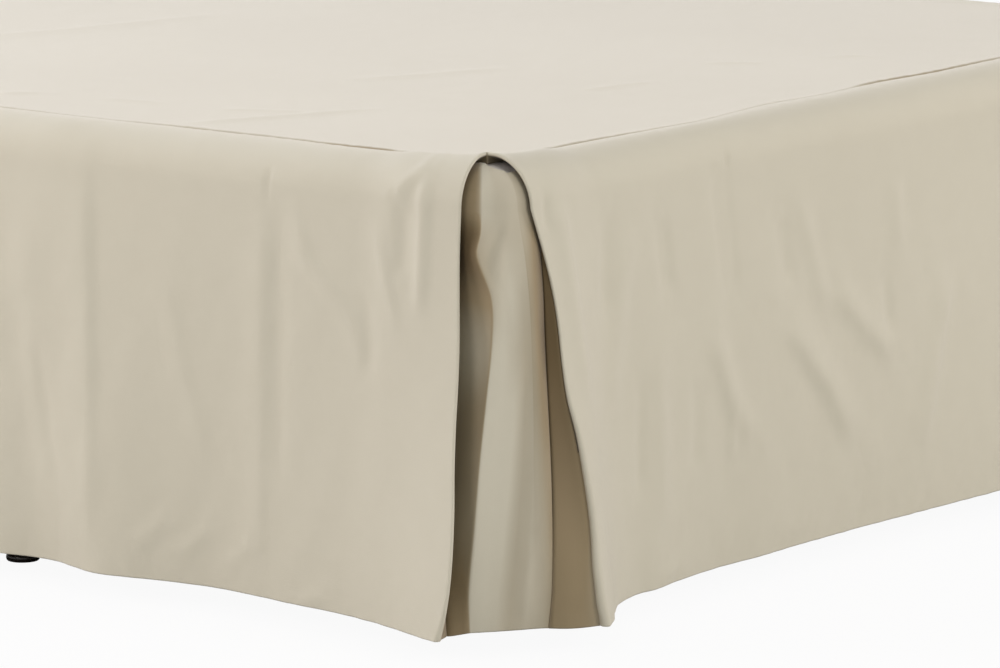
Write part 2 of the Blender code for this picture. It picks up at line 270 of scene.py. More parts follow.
# The folded edges of a corner pleat, from the shoulder (0) to the hem (1): level, distance from
# the corner, and that distance at the seam.
SIDE_FOLD = (
    (0.00, 0.0410),
    (0.10, 0.0380),
    (0.20, 0.0333),
    (0.30, 0.0280),
    (0.40, 0.0245),
    (0.50, 0.0220),
    (0.60, 0.0182),
    (0.70, 0.0128),
    (0.80, 0.0092),
    (0.87, 0.0086),
    (0.93, 0.0108),
    (1.00, 0.0178),
)
FOOT_FOLD = (
    (0.00, 0.0520),
    (0.10, 0.0610),
    (0.20, 0.0670),
    (0.28, 0.0680),
    (0.38, 0.0662),
    (0.46, 0.0680),
    (0.55, 0.0768),
    (0.65, 0.0822),
    (0.74, 0.0850),
    (0.80, 0.0834),
    (0.86, 0.0790),
    (0.94, 0.0782),
    (1.00, 0.0815),
)
SEAM_FOLD = 0.0458

# How softly each folded edge rolls over: level, radius of the roll.
SIDE_ROLL = ((0.00, 0.0016), (0.80, 0.0016), (0.92, 0.0022), (1.00, 0.0038))
FOOT_ROLL = ((0.00, 0.0013), (0.35, 0.0014), (0.50, 0.0024), (0.70, 0.0036), (1.00, 0.0050))

# How far the return bulges out on its way into the pleat: level, distance.
FOOT_BULGE = ((0.70, 0.0), (1.00, 0.0070))

# The insert of a corner pleat, a row for each level from the shoulder (0) to the hem (1): level,
# and in u and v its seven knots. They are its hidden edge by the side, its bend, its crest by the
# side, its middle, its crest by the foot, its bend and its hidden edge by the foot.
PLEAT = (
    (0.00, (0.0015, 0.0980), (0.0015, 0.0520), (0.0105, 0.0257), (0.0300, 0.0074),
     (0.0504, 0.0022), (0.0780, 0.0020), (0.1060, 0.0020)),
    (0.05, (0.0015, 0.0980), (0.0015, 0.0520), (0.0045, 0.0225), (0.0306, 0.0040),
     (0.0485, -0.0030), (0.0790, 0.0005), (0.1060, 0.0020)),
    (0.10, (0.0015, 0.0980), (0.0015, 0.0515), (-0.0034, 0.0214), (0.0306, -0.0010),
     (0.0447, -0.0098), (0.0800, -0.0010), (0.1060, 0.0020)),
    (0.20, (0.0015, 0.0980), (0.0010, 0.0520), (-0.0005, 0.0057), (0.0263, -0.0103),
     (0.0378, -0.0199), (0.0820, -0.0020), (0.1050, 0.0020)),
    (0.30, (0.0015, 0.0980), (0.0010, 0.0535), (-0.0023, 0.0031), (0.0265, -0.0139),
     (0.0359, -0.0232), (0.0760, -0.0080), (0.1020, 0.0010)),
    (0.45, (0.0010, 0.0970), (0.0005, 0.0560), (-0.0100, 0.0051), (0.0244, -0.0145),
     (0.0377, -0.0281), (0.0621, -0.0199), (0.0980, -0.0060)),
    (0.60, (0.0000, 0.0960), (-0.0030, 0.0580), (-0.0166, 0.0081), (0.0214, -0.0129),
     (0.0386, -0.0311), (0.0599, -0.0253), (0.0960, -0.0140)),
    (0.75, (-0.0060, 0.0920), (-0.0130, 0.0560), (-0.0211, 0.0108), (0.0169, -0.0093),
     (0.0387, -0.0329), (0.0562, -0.0305), (0.0960, -0.0220)),
    (0.90, (-0.0200, 0.0840), (-0.0290, 0.0400), (-0.0242, 0.0150), (0.0113, -0.0060),
     (0.0396, -0.0316), (0.0511, -0.0337), (0.0950, -0.0300)),
    (1.00, (-0.0360, 0.0720), (-0.0420, 0.0265), (-0.0215, 0.0160), (0.0068, -0.0058),
     (0.0385, -0.0275), (0.0477, -0.0324), (0.0930, -0.0370)),
)

# The same seven knots at the seam on the deck, how far each hangs below the drops' hem, and how
# wide the insert turns at the five between its ends. CREST and FOOT_CREST are its crests' numbers.
SEAM_PLEAT = (
    (0.0450, 0.1050),
    (0.0450, 0.0570),
    (0.0445, 0.0500),
    (0.0436, 0.0436),
    (0.0520, 0.0445),
    (0.0750, 0.0450),
    (0.1050, 0.0450),
)
INSERT_SAG = (0.005, 0.001, 0.0, 0.0, 0.0, 0.001, 0.005)
INSERT_TURNS = (0.007, 0.003, 0.014, 0.012, 0.009)
WIDEST_TURN = 0.48
CREST, FOOT_CREST = 2, 4

# How far, in u and v, the returns lie from the insert: at its bends (WALL), at its hidden edges
# (APART) and at its crest by the foot (MEET). The foot's return meets the flank of that crest at a
# share of the way to the bend. The returns lie this many layers under the drops at the shoulder.
SIDE_WALL = (-0.0026, 0.0006)
FOOT_WALL = (0.0005, -0.0011)
FOOT_MEET = (0.0001, -0.0009)
FOOT_MEETING = 0.52
SIDE_APART = (-0.0024, 0.0)
FOOT_APART = (0.0, -0.0024)
RETURN_UNDER = 0.75

# The insert's upper edge has dropped open: place between its knots, distance below the seam. The
# cloth is back in its place at TOP_REACH.
INSERT_TOP = (
    (1.0, 0.0090),
    (2.0, 0.0060),
    (2.4, 0.0080),
    (3.0, 0.0190),
    (3.4, 0.0250),
    (4.0, 0.0270),
    (4.6, 0.0270),
    (5.2, 0.0230),
)
TOP_REACH = 0.055

# Painted shade on the insert, as how open to the light it is, at places between its knots: a row
# for each level. Below 0 it lies deep in the pleat and is painted the deeper shade.
SHADE_PLACES = (1.2, 1.6, 1.92, 2.05, 2.5, 2.8, 3.05, 3.5, 3.8, 4.0, 4.2, 4.4, 4.7, 5.2)
INSERT_SHADE = (
    (0.00, (-0.5, -0.1, 0.5, 0.9, 0.85, 0.72, 0.74, 0.66, 0.56, 0.45, 0.3, 0.1, -0.1, -0.3)),
    (0.05, (-0.9, -0.8, -0.4, 0.6, 0.68, 0.70, 0.70, 0.60, 0.50, 0.25, -0.1, -0.4, -0.6, -0.6)),
    (0.12, (-0.95, -0.9, -0.45, 0.2, 0.68, 0.82, 0.76, 0.50, 0.35, 0.10, -0.3, -0.7, -0.8, -0.8)),
    (0.20, (0.0, -0.1, -0.1, 0.5, 0.85, 0.92, 0.65, 0.42, 0.25, 0.0, -0.35, -0.65, -0.8, -0.8)),
    (0.33, (0.9, 0.5, 0.05, 0.9, 1.00, 0.78, 0.50, 0.42, 0.30, 0.05, -0.45, -0.8, -0.9, -0.9)),
    (0.47, (0.4, 0.12, 0.02, 1.0, 1.00, 0.95, 0.58, 0.60, 0.36, 0.05, -0.15, -0.35, -0.5, -0.6)),
    (0.60, (0.3, 0.22, 0.14, 1.0, 1.00, 0.98, 0.60, 0.66, 0.52, 0.22, 0.08, 0.0, -0.1, -0.4)),
    (0.75, (0.3, 0.35, 0.30, 1.0, 1.00, 0.97, 0.62, 0.73, 0.61, 0.38, 0.10, 0.0, -0.1, -0.3)),
    (0.90, (-0.1, -0.1, 0.15, 1.0, 1.00, 0.90, 0.58, 0.76, 0.64, 0.48, 0.32, 0.2, 0.1, -0.1)),
    (1.00, (-0.4, -0.4, 0.1, 1.0, 1.00, 0.88, 0.56, 0.74, 0.66, 0.56, 0.42, 0.3, 0.15, -0.1)),
)
# Painted shade on the return behind the folded edges, as how open it is: level, shade. The painted
# shade sets in over a part of the fold's roll, and ends at HIDDEN_SHADE where the insert covers it.
SHADE_TURN = (0.3, 1.2)
HIDDEN_SHADE = 0.1
SIDE_OPEN = (
    (0.0, -0.35),
    (0.20, -0.30),
    (0.35, 0.10),
    (0.50, 0.22),
    (0.75, 0.10),
    (0.90, -0.10),
    (1.0, -0.30),
)
FOOT_OPEN = (
    (0.0, -0.80),
    (0.32, -0.88),
    (0.45, -0.76),
    (0.55, -0.62),
    (0.67, -0.38),
    (0.80, -0.15),
    (0.90, -0.04),
    (1.0, 0.03),
)

# Creases placed one by one: the crease's path as (distance from the corner, height), its half
# width towards the corner and away from it, and how far it stands out (below 0 for a trough).
SIDE_CREASES = (
    (((0.522, 0.470), (0.511, 0.298), (0.504, 0.146), (0.502, 0.010)), 0.055, 0.013, 0.0065),
    (((0.600, 0.440), (0.572, 0.189), (0.547, 0.020)), 0.022, 0.034, 0.0050),
    (((0.580, 0.270), (0.560, 0.148), (0.539, 0.090)), 0.010, 0.010, -0.0022),
    (((0.290, 0.440), (0.289, 0.300), (0.286, 0.030)), 0.018, 0.009, 0.0026),
    (((0.269, 0.446), (0.266, 0.300), (0.260, 0.090)), 0.010, 0.012, -0.0022),
    (((0.283, 0.454), (0.2815, 0.418)), 0.0025, 0.0025, -0.0024),
    (
        ((0.256, 0.430), (0.231, 0.364), (0.204, 0.341), (0.172, 0.313), (0.151, 0.262)),
        0.011, 0.009, 0.0028,
    ),
    (((0.157, 0.350), (0.145, 0.303), (0.148, 0.250)), 0.009, 0.011, -0.0024),
    (((0.146, 0.420), (0.129, 0.360), (0.105, 0.305)), 0.008, 0.007, 0.0020),
    (((0.087, 0.480), (0.083, 0.411), (0.080, 0.320)), 0.008, 0.009, 0.0046),
    (((0.124, 0.440), (0.086, 0.474)), 0.006, 0.008, 0.0034),
    (((0.110, 0.440), (0.106, 0.355)), 0.012, 0.011, -0.0034),
    (((0.415, 0.350), (0.390, 0.240), (0.350, 0.135)), 0.014, 0.012, 0.0022),
    (((0.446, 0.055), (0.400, 0.092)), 0.010, 0.009, 0.0018),
    (((0.396, 0.046), (0.345, 0.092)), 0.010, 0.009, 0.0018),
    (((0.333, 0.044), (0.290, 0.082)), 0.010, 0.009, 0.0016),
    (((0.238, 0.022), (0.188, 0.042)), 0.010, 0.010, 0.0016),
    (((0.760, 0.440), (0.735, 0.010)), 0.040, 0.022, 0.0060),
    (((1.180, 0.440), (1.215, 0.010)), 0.035, 0.045, -0.0050),
    (((1.600, 0.380), (1.560, 0.010)), 0.035, 0.030, -0.0040),
    (((1.760, 0.450), (1.790, 0.100)), 0.012, 0.020, 0.0030),
    (((0.960, 0.440), (0.940, 0.060)), 0.016, 0.010, 0.0025),
    (((1.390, 0.430), (1.400, 0.030)), 0.006, 0.012, 0.0018),
)
FOOT_CREASES = (
    (((0.091, 0.472), (0.095, 0.396), (0.100, 0.300), (0.110, 0.215)), 0.013, 0.015, 0.0055),
    (((0.074, 0.452), (0.070, 0.405)), 0.006, 0.006, -0.0020),
    (((0.184, 0.420), (0.170, 0.300)), 0.012, 0.012, -0.0030),
    (((0.226, 0.405), (0.196, 0.295), (0.173, 0.200)), 0.016, 0.016, 0.0034),
    (((0.273, 0.400), (0.290, 0.310)), 0.011, 0.013, -0.0032),
    (((0.391, 0.448), (0.391, 0.416)), 0.0025, 0.0030, -0.0028),
    (((0.372, 0.440), (0.386, 0.370), (0.404, 0.285)), 0.015, 0.014, -0.0042),
    (((0.360, 0.275), (0.395, 0.200), (0.440, 0.135)), 0.016, 0.013, 0.0042),
    (((0.340, 0.230), (0.333, 0.120)), 0.012, 0.012, -0.0026),
    (((0.397, 0.196), (0.399, 0.126)), 0.007, 0.007, 0.0018),
    (((0.483, 0.375), (0.503, 0.290)), 0.012, 0.013, -0.0028),
    (((0.512, 0.400), (0.557, 0.285), (0.576, 0.250)), 0.012, 0.012, 0.0026),
    (((0.484, 0.268), (0.567, 0.184), (0.625, 0.105)), 0.022, 0.013, 0.0056),
    (((0.575, 0.290), (0.640, 0.232), (0.700, 0.190)), 0.018, 0.013, 0.0046),
    (((0.675, 0.290), (0.684, 0.215)), 0.009, 0.010, -0.0024),
    (((0.695, 0.390), (0.700, 0.300)), 0.011, 0.012, 0.0026),
    (((0.797, 0.290), (0.732, 0.080)), 0.013, 0.020, 0.0046),
    (((0.274, 0.290), (0.268, 0.070)), 0.014, 0.014, 0.0026),
    (((0.236, 0.250), (0.229, 0.110)), 0.010, 0.010, -0.0024),
    (((0.250, 0.030), (0.319, 0.044)), 0.010, 0.010, 0.0014),
    (((0.497, 0.038), (0.534, 0.050)), 0.008, 0.008, 0.0012),
    (((1.050, 0.440), (1.020, 0.010)), 0.030, 0.030, -0.0040),
    (((1.312, 0.470), (1.290, 0.330), (1.262, 0.215)), 0.015, 0.012, 0.0050),
    (((1.170, 0.400), (1.140, 0.250)), 0.014, 0.014, 0.0026),
    (((0.960, 0.430), (0.985, 0.250)), 0.012, 0.016, 0.0026),
)

# Creases of the deck: the path as (x, y), the half widths and the height.
DECK_CREASES = (
    (((-0.654, -0.506), (-0.530, -0.565), (-0.405, -0.617)), 0.008, 0.012, 0.0022),
    (((-0.532, -0.471), (-0.481, -0.586)), 0.007, 0.010, 0.0014),
    (((-0.290, -0.450), (-0.190, -0.500), (-0.092, -0.538)), 0.012, 0.016, 0.0020),
    (((-0.570, -0.223), (-0.543, -0.261)), 0.008, 0.010, 0.0016),
    (((-0.537, -0.330), (-0.528, -0.415)), 0.008, 0.010, 0.0014),
    (((-0.201, -0.696), (-0.091, -0.719)), 0.008, 0.010, 0.0016),
    (((0.048, -0.673), (0.092, -0.733)), 0.008, 0.010, 0.0014),
    (((0.176, -0.754), (0.202, -0.788)), 0.008, 0.010, 0.0014),
    (((-0.420, 0.150), (-0.150, 0.040), (0.120, -0.030)), 0.014, 0.022, 0.0020),
    (((0.150, 0.420), (0.330, 0.250)), 0.012, 0.016, 0.0018),
    (((-0.500, 0.700), (-0.350, 0.560)), 0.012, 0.018, 0.0018),
)

# Creases of the insert: the path as (distance from the crest by the side, height), the half widths
# and the height.
INSERT_CREASES = (
    (((0.025, 0.424), (0.018, 0.400), (0.009, 0.380), (0.003, 0.364)), 0.006, 0.006, -0.0030),
    (((0.030, 0.428), (0.026, 0.412), (0.023, 0.388), (0.008, 0.360)), 0.004, 0.006, 0.0022),
    (((0.046, 0.330), (0.042, 0.245), (0.044, 0.158), (0.039, 0.050)), 0.012, 0.009, -0.0034),
    (((0.060, 0.120), (0.058, 0.020)), 0.009, 0.008, 0.0020),
)

# A crease counts within this many half widths of its path. It starts to rise this many half widths
# before its ends, and is whole at this share of its length.
CREASE_REACH = 3.0
CREASE_START = 0.3
CREASE_TAPER = 0.28

# Small waves that no crease holds: height, lean along and down, length along and down, and the
# seed's shift.
DROP_WAVES = (
    (0.0012, 0.0, 0.0, 0.11, 0.34, 0),
    (0.0008, -0.35, 0.3, 0.035, 0.16, 7),
    (0.00022, 0.0, 0.0, 0.012, 0.022, 13),
)
HEM_WAVES = ((0.0009, 0.5, 0.0, 0.016, 0.035, 19),)
INSERT_WAVES = ((0.0012, 0.0, 0.0, 0.030, 0.22, 0), (0.0004, 0.0, 0.0, 0.012, 0.05, 5))
DECK_WAVES = ((0.0005, 0.0, 0.0, 0.22, 0.15, 31), (0.0003, 0.4, -0.4, 0.05, 0.028, 37))
DECK_WAVES_LIFT = 0.0008
DECK_SEED = 5.0
PUCKER_SEED = 23

# Where the waves set in: their least share, and the levels or the distances from the corner
# between which they grow to the whole of it.
SHOULDER_CALM = (0.25, 0.0, 0.35)
CORNER_CALM = (0.35, 0.06, 0.20)
HEM_RIPPLE = (0.86, 0.97)
INSERT_FREE = (-0.05, 0.08)
INSERT_OPEN = ((-0.004, 0.004), (0.062, 0.075))
DECK_FREE = 0.03

# Straight out from the corner, in the corner's own u and v.
OUTWARD = Vector((-1.0, -1.0, 0.0)).normalized()

# A side drop has no second foot corner: this distance lies past all of it.
NO_CORNER = 10.0


def curve_at(rows, x):
    """A smooth curve through rows of (x, value), flat beyond its ends."""
    if x <= rows[0][0]:
        return rows[0][1]
    if x >= rows[-1][0]:
        return rows[-1][1]
    last = len(rows) - 1
    i = max(k for k in range(last) if rows[k][0] <= x)
    slopes = []
    for k in (i, i + 1):
        before, after = rows[max(k - 1, 0)], rows[min(k + 1, last)]
        slopes.append((after[1] - before[1]) / (after[0] - before[0]))
    (x0, y0), (x1, y1) = rows[i], rows[i + 1]
    span = x1 - x0
    t = (x - x0) / span
    rise = (y1 - y0) * (3 - 2 * t) * t * t
    return y0 + rise + span * t * (1 - t) * (slopes[0] * (1 - t) - slopes[1] * t)


def straight_at(rows, x):
    """The value at x on the straight lines between rows of (x, value)."""
    for (x0, y0), (x1, y1) in zip(rows, rows[1:]):
        if x < x1:
            return y0 + (y1 - y0) * min(max((x - x0) / (x1 - x0), 0.0), 1.0)
    return rows[-1][1]


def ease_between(x, low, high):
    """0 up to low, 1 from high, smooth between."""
    t = min(max((x - low) / (high - low), 0.0), 1.0)
    return t * t * (3 - 2 * t)


def share_from(least, x, low, high):
    """A share that grows smoothly from its least value to 1, between low and high."""
    return least + (1 - least) * ease_between(x, low, high)


def bell(x, width):
    """1 at 0, and falling off smoothly to both sides."""
    return math.exp(-((x / width) ** 2))


def between(a, b, t):
    return tuple(p + (q - p) * t for p, q in zip(a, b))


def lengths_along(points):
    """How far along its line each point lies."""
    lengths = [0.0]
    for before, after in zip(points, points[1:]):
        lengths.append(lengths[-1] + (after - before).length)
    return lengths


def pleat_at(knot, level):
    """Where one of the insert's seven knots is, at a level."""
    return tuple(
        curve_at([(row[0], row[1 + knot][axis]) for row in PLEAT], level) for axis in (0, 1)
    )


def crease_height(creases, x, y):
    """How far the creases of a table lift the cloth at a place."""
    total = 0.0
    for path, before, after, height in creases:
        reach = CREASE_REACH * max(before, after)
        (x0, y0), (x1, y1) = path[0], path[-1]
        if not (min(x0, x1) - reach < x < max(x0, x1) + reach):
            continue
        if not (min(y0, y1) - reach < y < max(y0, y1) + reach):
            continue
        best = None
        for (ax, ay), (bx, by) in zip(path, path[1:]):
            dx, dy = bx - ax, by - ay
            length = math.hypot(dx, dy)
            t = ((x - ax) * dx + (y - ay) * dy) / (length * length)
            held = min(max(t, 0.0), 1.0)
            gap = math.hypot(x - ax - dx * held, y - ay - dy * held)
            side = dx * (y - ay) - dy * (x - ax)
            if best is None or gap < best[0]:
                best = (gap, side)
        gap, side = best
        whole = sum(math.dist(a, b) for a, b in zip(path, path[1:]))
        from_start = math.dist((x, y), path[0])
        from_end = math.dist((x, y), path[-1])
        from_end = min(from_start, from_end)
        taper = ease_between(from_end, -CREASE_START * before, CREASE_TAPER * whole)
        total += height * taper * bell(gap, before if side > 0 else after)
    return total


def noise_at(x, y, seed):
    return noise.noise(Vector((x, y, seed)))


def waves_at(waves, x, y, seed):
    """How far the waves of a table lift the cloth at a place."""
    return sum(
        height * noise_at((x + lean_x * y) / long_x, (y + lean_y * x) / long_y, seed + shift)
        for height, lean_x, lean_y, long_x, long_y, shift in waves
    )


def corner_gap(corner_run):
    """How open the gap under the seams' corner is, at a distance from the drops' corner."""
    return bell(corner_run - SEAM_INSET, CORNER_GAP_REACH)


def apex_lift(corner_run):
    """How far the folded corner of the seams stands up."""
    return APEX_LIFT * bell(corner_run - SEAM_INSET, APEX_REACH)


def fold_layers(corner_run):
    """How many layers of the pleat lie under a drop, at a distance from its nearest foot corner."""
    return 2 * (1 - ease_between(corner_run, *RETURN_END))


def seam_pucker(along, off, seed):
    """Small gathers that the seam's thread draws in the cloth beside it."""
    fade = bell(off, PUCKER_WIDTH) * ease_between(off, 0.0, PUCKER_START)
    long, deep = PUCKER_LENGTHS
    return PUCKER * fade * noise_at(along / long, off / deep, seed + PUCKER_SEED)


def insert_bump(along, height, row, seed):
    """The insert's creases and waves, at a distance from its crest by the side."""
    bump = crease_height(INSERT_CREASES, along, height)
    bump += waves_at(INSERT_WAVES, along, height, seed)
    (low, high), (high_end, low_end) = INSERT_OPEN
    middle = ease_between(along, low, high) * (1 - ease_between(along, high_end, low_end))
    return bump * ease_between(row.level, *INSERT_FREE) * middle


def seam_inset(seam, run, corner_run):
    """How far in from the drop's plane its seam lies."""
    return SEAM_INSET + curve_at(seam, run) * ease_between(corner_run, *SEAM_WANDER)


class Row:
    """A row of a sheet: an angle over the shoulder (from 0 at the seam) and a level of the hang."""

    def __init__(self, angle, level):
        self.angle = angle
        self.level = level
        self.over = angle < math.pi / 2
        self.from_seam = angle * ARC_RADIUS
        self.rise = ease_between(self.from_seam, 0.0, SEAM_RISE)

    def layer(self, corner_run):
        """A layer's height: pressed together at the seam, except at the corner."""
        return SEAM_LAYER + (LAYER - SEAM_LAYER) * max(self.rise, corner_gap(corner_run))


class Skirt:
    """The skirt's shape, from the sizes in the sidebar."""

    def __init__(self, sizes):
        self.width = sizes.width
        self.length = sizes.length
        self.hem_height = sizes.hem_height
        self.cloth = sizes.cloth
        self.hem_width = sizes.hem_width
        self.hem_cloth = sizes.hem_cloth
        self.top = BASE_HIGH.z
        self.edge_radius = sizes.edge_radius
        self.shoulder = self.top - self.edge_radius
        self.hang = self.shoulder - self.hem_height

    def rows(self):
        """The rows of every sheet, from its seam to its hem."""
        found = [Row(angle, 0.0) for angle in SHOULDER_ANGLES]
        count = round((self.hang - HEM_STEPS[0]) / ROW_STEP)
        above = 1.0 - HEM_STEPS[0] / self.hang
        found += [Row(math.pi / 2, above * k / count) for k in range(count)]
        return found + [Row(math.pi / 2, 1.0 - up / self.hang) for up in HEM_STEPS]

    def place(self, point, side):
        """A corner's u, v and height as x, y, z, for the left (-1) or the right (+1) corner."""
        u, v, height = point
        return Vector((side * (self.width / 2 - u), v - self.length / 2 + SHIFT_Y, height))

    def height(self, level, sag=0.0):
        return self.shoulder - level * (self.hang + sag)

    def flat_height(self, row):
        """How far above the hem a row lies on the flat cloth."""
        return self.hang * (1 - row.level) + ARC_RADIUS * (math.pi / 2 - row.angle)

    def back_distance(self, row):
        """How far the cloth's back lies behind its middle: further in the folded hem."""
        above_hem = self.hang * (1 - row.level)
        low, high = self.hem_width - HEM_EDGE[0], self.hem_width + HEM_EDGE[1]
        folded = 1 - ease_between(above_hem, low, high)
        return self.cloth / 2 + (self.hem_cloth - self.cloth) * folded

    def layer_radius(self, row, layers, corner_run=1.0):
        """The shoulder's radius for cloth over a number of layers, with the corner's peak."""
        standoff = SEAM_STANDOFF + (STANDOFF - SEAM_STANDOFF) * row.rise
        lift = layers * row.layer(corner_run)
        return self.edge_radius + standoff + lift + apex_lift(corner_run)

    def over_shoulder(self, row, seam, shoulder, radius):
        u, v = between(seam, shoulder, math.sin(row.angle))
        return Vector((u, v, self.shoulder + radius * math.cos(row.angle)))

    def drop_point(self, row, run, kind):
        """A point of a drop as (distance out, height), its creases and its unevenness with it."""
        corner_run = kind.corner_run(run)
        layers = fold_layers(corner_run)
        rest = layers * LAYER - (EASE - STANDOFF)
        free = ease_between(corner_run, *FREE_HANG)
        if row.over:
            radius = self.layer_radius(row, layers, corner_run)
            height = self.shoulder + radius * math.cos(row.angle)
            inset = seam_inset(kind.seam, run, corner_run)
            out = -inset + (inset + rest) * math.sin(row.angle)
            height -= SEAM_DEPTH * curve_at(kind.groove, run) * bell(row.from_seam, GROOVE_WIDTH)
        else:
            height = self.height(row.level)
            swept = curve_at(kind.sweep, run) - rest
            out = rest + swept * row.level ** (1.0 + FREE_SWEEP * free)
        bump = crease_height(kind.creases, run, height)
        bump += self.unevenness(run, row, kind.seed, corner_run)
        if row.over:
            bump *= ease_between(row.from_seam, *SEAM_FLAT)
            bump += seam_pucker(run, row.from_seam, kind.seed) * free
            out += bump * math.sin(row.angle)
            height += bump * math.cos(row.angle)
        else:
            out = max(out + bump, EASE_LIMIT)
        return out, height

    def unevenness(self, run, row, seed, corner_run):
        """A drop's soft waves and small wrinkles, and the ripple of its hem."""
        calm = share_from(SHOULDER_CALM[0], row.level, *SHOULDER_CALM[1:])
        calm *= share_from(CORNER_CALM[0], corner_run, *CORNER_CALM[1:])
        down = row.level * self.hang + self.edge_radius
        ripple = waves_at(HEM_WAVES, run, down, seed) * ease_between(row.level, *HEM_RIPPLE)
        return waves_at(DROP_WAVES, run, down, seed) * calm + ripple

    def drop_place(self, row, run, kind):
        out, height = self.drop_point(row, run, kind)
        if kind.along_side:
            return Vector((-out, run, height))
        return Vector((run, -out, height))

    def fold_run(self, row, column):
        """The folded edge's distance from the corner, at a row."""
        shoulder = curve_at(column, 0.0)
        if row.over:
            return SEAM_FOLD + (shoulder - SEAM_FOLD) * math.sin(row.angle)
        return curve_at(column, row.level)

    def insert_point(self, row, knot, apart=(0.0, 0.0), layers=0.0):
        """One of the insert's seven knots at a row, or a place that lies apart from it."""
        u, v = pleat_at(knot, row.level)
        u, v = u + apart[0], v + apart[1]
        if row.over:
            return self.over_shoulder(row, SEAM_PLEAT[knot], (u, v), self.layer_radius(row, layers))
        return Vector((u, v, self.height(row.level, INSERT_SAG[knot])))

    def roll(self, row, radii):
        """The radius of a folded edge's roll at a row."""
        if row.over:
            return row.layer(SEAM_FOLD) / 2
        return curve_at(radii, row.level)

    def fold_and_return(self, edge, ahead, radius, way, bulge):
        """The roll of the folded edge and the return behind the drop, down into the pleat."""
        inward = way[0] - edge
        inward = (inward - ahead * inward.dot(ahead)).normalized()
        centre = edge + inward * radius
        points = []
        for k in range(1, FOLD_STEPS + 1):
            angle = math.pi * k / FOLD_STEPS
            across = inward * (radius * math.cos(angle))
            points.append(centre - across + ahead * (radius * math.sin(angle)))
        start = points[-1]
        for k in range(1, WALL_STEPS + 1):
            t = k / WALL_STEPS
            points.append(start.lerp(way[0], t) + ahead * (bulge * math.sin(math.pi * t)))
        for before, after in zip(way, way[1:]):
            points += [before.lerp(after, k / RETURN_STEPS) for k in range(1, RETURN_STEPS + 1)]
        return points


class Drop:
    """What a drop is made from: which way it runs, its tables, its far corner and its seed."""

    def __init__(self, along_side, sweep, creases, seam, groove, opened, far_corner, seed):
        self.along_side = along_side
        self.opened = opened
        self.sweep = sweep
        self.creases = creases
        self.seam = seam
        self.groove = groove
        self.far_corner = far_corner
        self.seed = seed

    def corner_run(self, run):
        """The distance from the drop's nearest foot corner."""
        return min(run, self.far_corner - run)


def side_kind(seed):
    tables = (SIDE_SWEEP, SIDE_CREASES, SIDE_SEAM, SIDE_GROOVE, SIDE_OPEN)
    return Drop(True, *tables, NO_CORNER, seed)


def foot_kind(skirt, seed):
    tables = (FOOT_SWEEP, FOOT_CREASES, FOOT_SEAM, FOOT_GROOVE, FOOT_OPEN)
    return Drop(False, *tables, skirt.width, seed)


def even_runs(start, end, step):
    count = max(round((end - start) / step), 1)
    return [start + (end - start) * k / count for k in range(count + 1)]


def near_runs(first):
    """Distances from a folded edge to NEAR_END, closer together by the fold."""
    reach = NEAR_END - first
    return [first + reach * (k / NEAR_COUNT) ** NEAR_POWER for k in range(NEAR_COUNT)]


class Sheet:
    """A sheet of cloth as a grid of points, with the flat place, back and painted shade at each."""

    def __init__(self):
        self.points = []
        self.flat = []
        self.inner = []
        self.shade = []

    def add_row(self, points, flat, inner, shade):
        self.points.append(points)
        self.flat.append(flat)
        self.inner.append(inner)
        self.shade.append(shade)


def grid_normal(points, i, j):
    last_i, last_j = len(points) - 1, len(points[0]) - 1
    down = points[min(i + 1, last_i)][j] - points[max(i - 1, 0)][j]
    along = points[i][min(j + 1, last_j)] - points[i][max(j - 1, 0)]
    return along.cross(down).normalized()


def add_mesh(name, verts, faces):
    mesh = bpy.data.meshes.new(name)
    mesh.from_pydata([tuple(v) for v in verts], [], faces)
    mesh.validate()
    made = bpy.data.objects.new(name, mesh)
    bpy.context.scene.collection.objects.link(made)
    return made


def rim_of(rows, columns):
    """The grid's border, once round, as (row, column)."""
    loop = [(0, j) for j in range(columns - 1)]
    loop += [(i, columns - 1) for i in range(rows - 1)]
    loop += [(rows - 1, j) for j in range(columns - 1, 0, -1)]
    return loop + [(i, 0) for i in range(rows - 1, 0, -1)]


def add_sheet(name, sheet, half_cloth, facing):
    """A closed sheet of cloth with a rounded rim, its flat places as a UV map, and its painted
    shade.
    """
    points = sheet.points
    rows, columns = len(points), len(points[0])
    middle = grid_normal(points, rows // 2, columns // 2)
    flip = 1.0 if middle.dot(facing) > 0 else -1.0
    outer, back = [], []
    for i in range(rows):
        for j in range(columns):
            normal = grid_normal(points, i, j) * flip
            outer.append(points[i][j] + normal * half_cloth)
            back.append(points[i][j] - normal * sheet.inner[i][j])
    loop = rim_of(rows, columns)
    rim = []
    for i, j in loop:
        toward = points[min(max(i, 1), rows - 2)][min(max(j, 1), columns - 2)]
        away = (points[i][j] - toward).normalized()
        middle = (outer[i * columns + j] + back[i * columns + j]) / 2
        rim.append(middle + away * (outer[i * columns + j] - middle).length)
    count = rows * columns
    quads = []
    for i in range(rows - 1):
        for j in range(columns - 1):
            a, b = i * columns + j, i * columns + j + 1
            quad = (a, b, b + columns, a + columns)
            quads += [quad, tuple(k + count for k in quad[::-1])]
    on_rim = [i * columns + j for i, j in loop]
    for k, here in enumerate(on_rim):
        nxt = (k + 1) % len(on_rim)
        after = on_rim[nxt]
        near, far = 2 * count + k, 2 * count + nxt
        quads += [(here, near, far, after), (near, here + count, after + count, far)]
    faces = quads if flip > 0 else [quad[::-1] for quad in quads]
    made = add_mesh(name, outer + back + rim, faces)
    flat = [place for row in sheet.flat for place in row]
    shade = [value for row in sheet.shade for value in row]
    rim_flat, rim_shade = [flat[k] for k in on_rim], [shade[k] for k in on_rim]
    finish_cloth(made, flat + flat + rim_flat, shade + shade + rim_shade)
    return made


